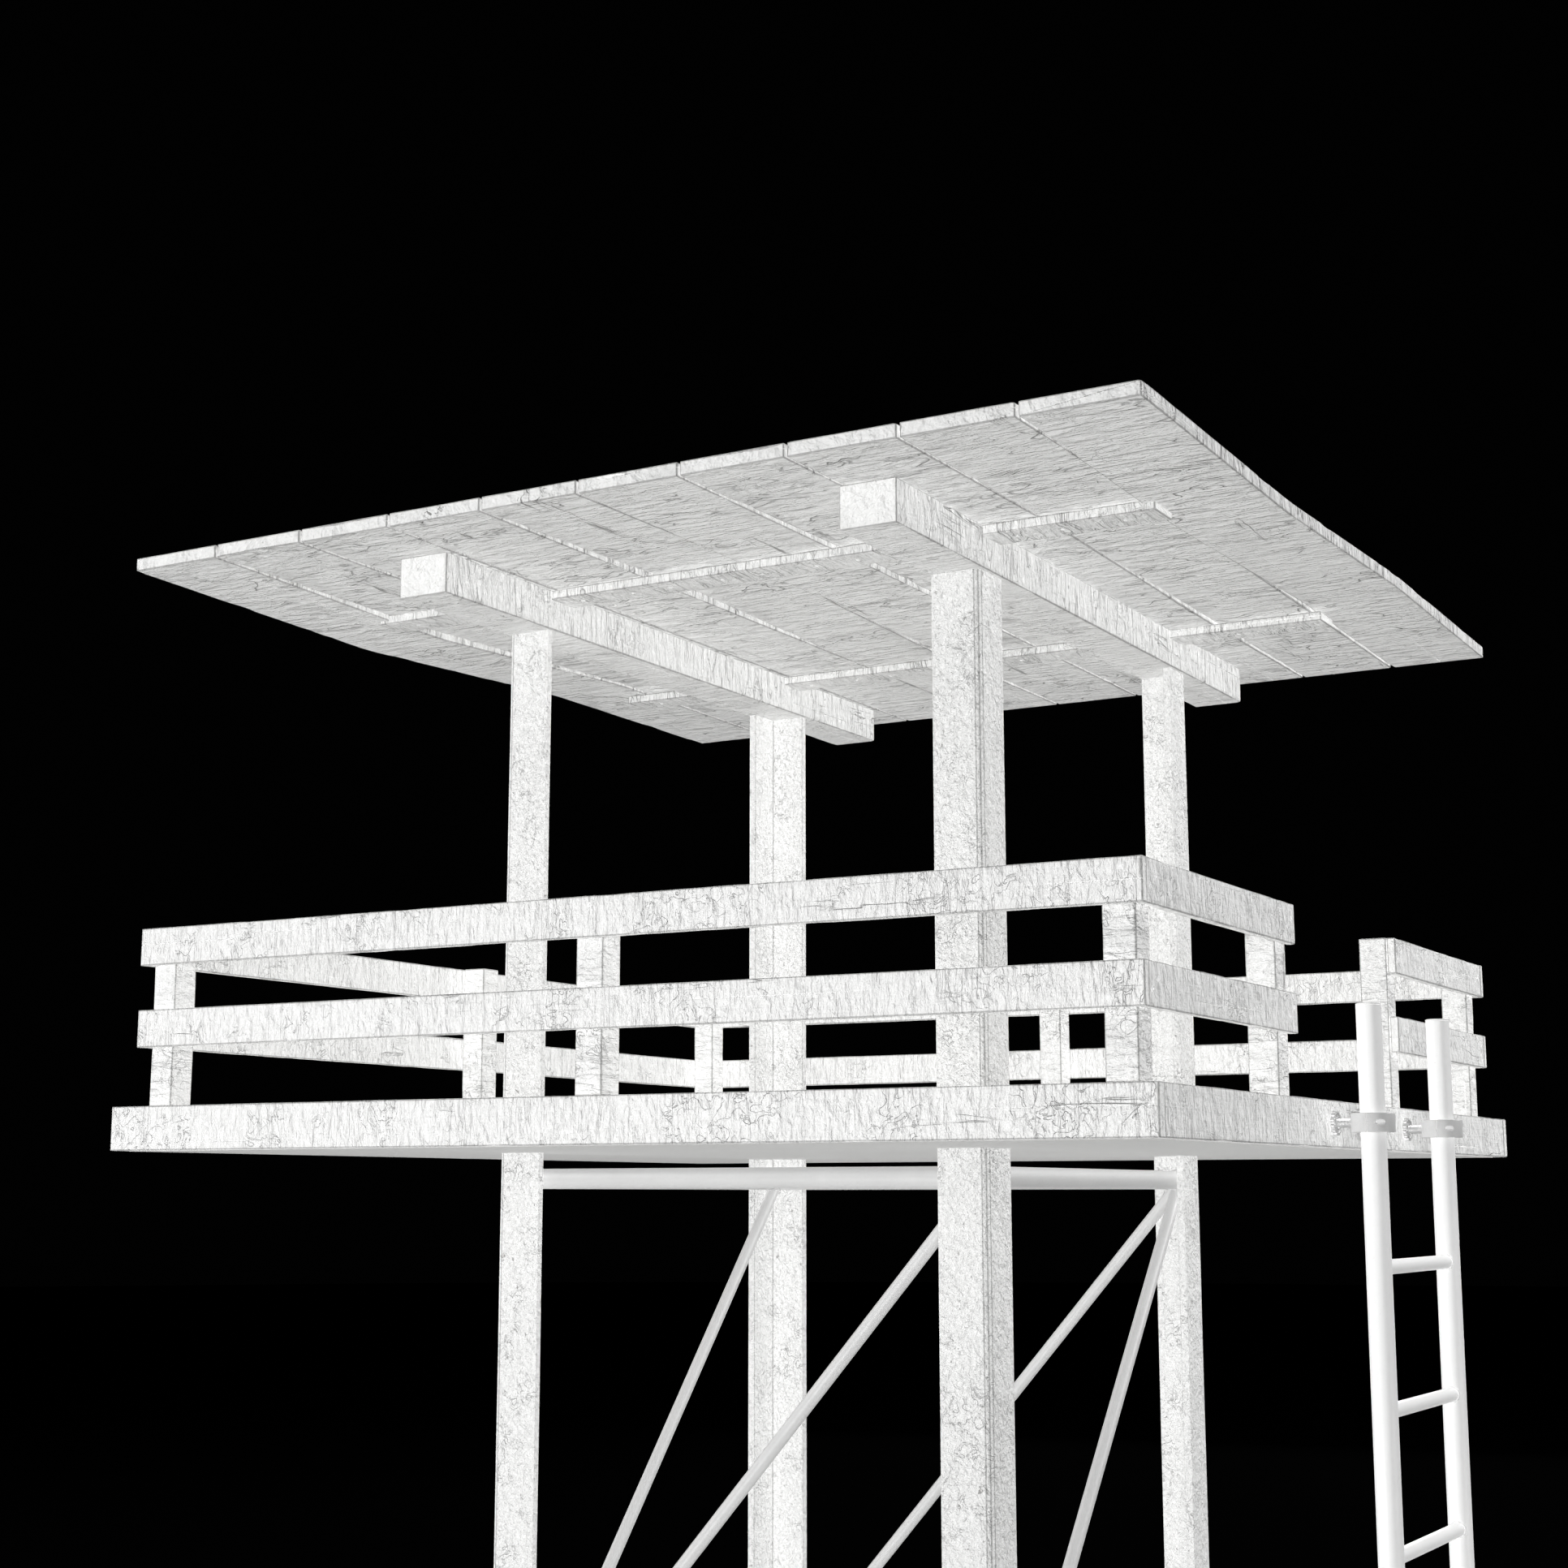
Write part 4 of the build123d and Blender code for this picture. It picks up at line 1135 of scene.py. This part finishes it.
def build_object():
    """Every visible piece, by material."""
    rail_paint = wood_material("rail_paint", (0.84, 0.84, 0.835), (0.62, 0.605, 0.58), saw=0.35, relief=1.35)
    beam_paint = wood_material("beam_paint", (0.78, 0.78, 0.775), (0.60, 0.59, 0.57), saw=1.1, lumps=0.8,
                               pitch=58.0, relief=1.4)
    roof_paint = wood_material("roof_paint", (0.78, 0.78, 0.775), (0.60, 0.59, 0.57), saw=1.7, lumps=0.5,
                               pitch=36.0, relief=1.7)
    deck_paint = wood_material("deck_paint", (0.52, 0.515, 0.50), (0.42, 0.405, 0.38), saw=0.8, lumps=0.6,
                               pitch=60.0, wear=0.9)
    leg_paint = steel_material("leg_paint", (0.84, 0.84, 0.835), (0.50, 0.47, 0.43))
    tube_paint = steel_material("tube_paint", (0.83, 0.83, 0.83), (0.52, 0.50, 0.47), 90.0, 0.18, 0.0010,
                                (0.32, 0.48))
    # Painted shade: the rings, braces and clamps get this darker copy of the tube paint in place of shade.
    ring_paint = steel_material("ring_paint", (0.53, 0.53, 0.53), (0.46, 0.44, 0.42), 110.0, 0.30, 0.0016,
                                (0.38, 0.52))
    cap_plastic = steel_material("cap_plastic", (0.74, 0.74, 0.735), (0.45, 0.45, 0.44), 160.0, 0.15, 0.0006,
                                 (0.40, 0.55))
    zinc = zinc_material()

    rails, beams, deck = (rail_paint, "rail_wood"), (beam_paint, "beam_wood"), (deck_paint, "deck_wood")
    for level in ("top", "mid"):
        for side in ("front", "rear", "left", "right_front", "right_rear"):
            timber_node(f"rail_{side}_{level}", rails, cracks=6, deep=0.005)
    for side in SIDES:
        timber_node(f"rim_{side}", rails, cracks=6)
    for place in ("corner", "middle", "gate"):
        timber_node(f"rail_stakes_{place}", rails, cracks=2)
    roof_beams(beams)
    for place in ("front", "rear"):
        timber_node(f"roof_batten_{place}", beams, cracks=6)
    roof_planks((roof_paint, "roof_wood"))
    deck_boards(deck)
    timber_node("deck_joists", deck, cracks=0, station=JOIST_STATION)

    legs, rings = (leg_paint, "leg_steel"), (ring_paint, "tube_steel")
    for corner in LEG_CORNERS:
        steel_leg(corner, legs)
    feet(legs)
    ring_tubes(rings)
    braces(rings)
    ladder((tube_paint, "tube_steel"), (cap_plastic, "cap_plastic"), (rubber_material(), "foot_rubber"))
    clamps(rings, (zinc, "zinc_steel"))

    for node, radius, facing in (("rail_screws", RAIL_SCREW_R, None), ("deck_screws", SMALL_SCREW_R, None),
                                 ("batten_screws", SMALL_SCREW_R, -1)):
        screw_heads(node, (tube_paint, "zinc_steel"), radius, facing)
    dress("deck_soffit", sheet_material())
    for node in ("beam_dowels", "batten_tie_pins", "leg_joist_bolts", "clamp_nuts"):
        dress(node, zinc)


# ---- studio

def floor_material():
    """A pale studio floor with a painted pool of light: its colour fades to the backdrop's black far from the
    object.
    """
    make = Nodes("studio_floor")
    place = make.place()
    away = make.add("VectorMath", {0: place}, operation="LENGTH")["Value"]
    near, far = FLOOR_LIGHT_POOL
    # Painted pool of light: pale near the middle, fading to the backdrop's black further out.
    light_pool_fade = make.ramp(make.times(away, 1.0 / far), (near / far, 0.0), (1.0, 1.0))
    speck = make.noise(place, 3.0, 4.0)
    pale = make.mix(speck, (0.40, 0.40, 0.395), (0.43, 0.43, 0.425))
    make.shader.inputs["Specular IOR Level"].default_value = 0.0
    return make.finish(make.mix(light_pool_fade, pale, BACKDROP), 0.85)


def studio_floor():
    """A wide disc just under the feet."""
    verts = [(0.0, 0.0, FLOOR_DROP)]
    for ring in FLOOR_RINGS:
        verts += [(ring * cos(turn), ring * sin(turn), FLOOR_DROP) for turn in turns(FLOOR_SIDES)]
    faces = [(0, 1 + index, 1 + (index + 1) % FLOOR_SIDES) for index in range(FLOOR_SIDES)]
    faces += [tuple(1 + index for index in face) for face in grid_faces(len(FLOOR_RINGS), FLOOR_SIDES)]
    mesh = bpy.data.meshes.new("studio_floor")
    mesh.from_pydata(verts, [], faces)
    mesh.materials.append(floor_material())
    new_object("studio_floor", mesh)


def soft_light(name, place, aim, size, power, shadows):
    """A large soft lamp that the camera can't see."""
    data = bpy.data.lights.new(name, "AREA")
    data.use_shadow, data.shape, data.size, data.energy = shadows, "SQUARE", size, power
    lamp = new_object(name, data)
    lamp.location = place
    lamp.rotation_euler = (Vector((0, 0, aim)) - Vector(place)).to_track_quat("-Z", "Y").to_euler()
    lamp.visible_camera = False


def studio():
    """Floor, lamps, backdrop colour and camera."""
    studio_floor()
    for lamp in LAMPS:
        soft_light(*lamp)
    scene = bpy.context.scene
    scene.world = bpy.data.worlds.new("backdrop")
    scene.world.use_nodes = True
    scene.world.node_tree.nodes["Background"].inputs["Color"].default_value = (*BACKDROP, 1)
    scene.view_settings.view_transform = "Standard"
    data = bpy.data.cameras.new("camera")
    data.lens, data.sensor_width = CAMERA_LENS, CAMERA_SENSOR
    data.clip_end = 200.0
    scene.camera = new_object("camera", data)
    scene.camera.location = DECK_CORNER + CAMERA_PLACE * DECK_SIDE
    scene.camera.rotation_euler = (radians(90 + CAMERA_PITCH), 0.0, radians(CAMERA_YAW))


build_object()
studio()
bpy.context.view_layer.update()
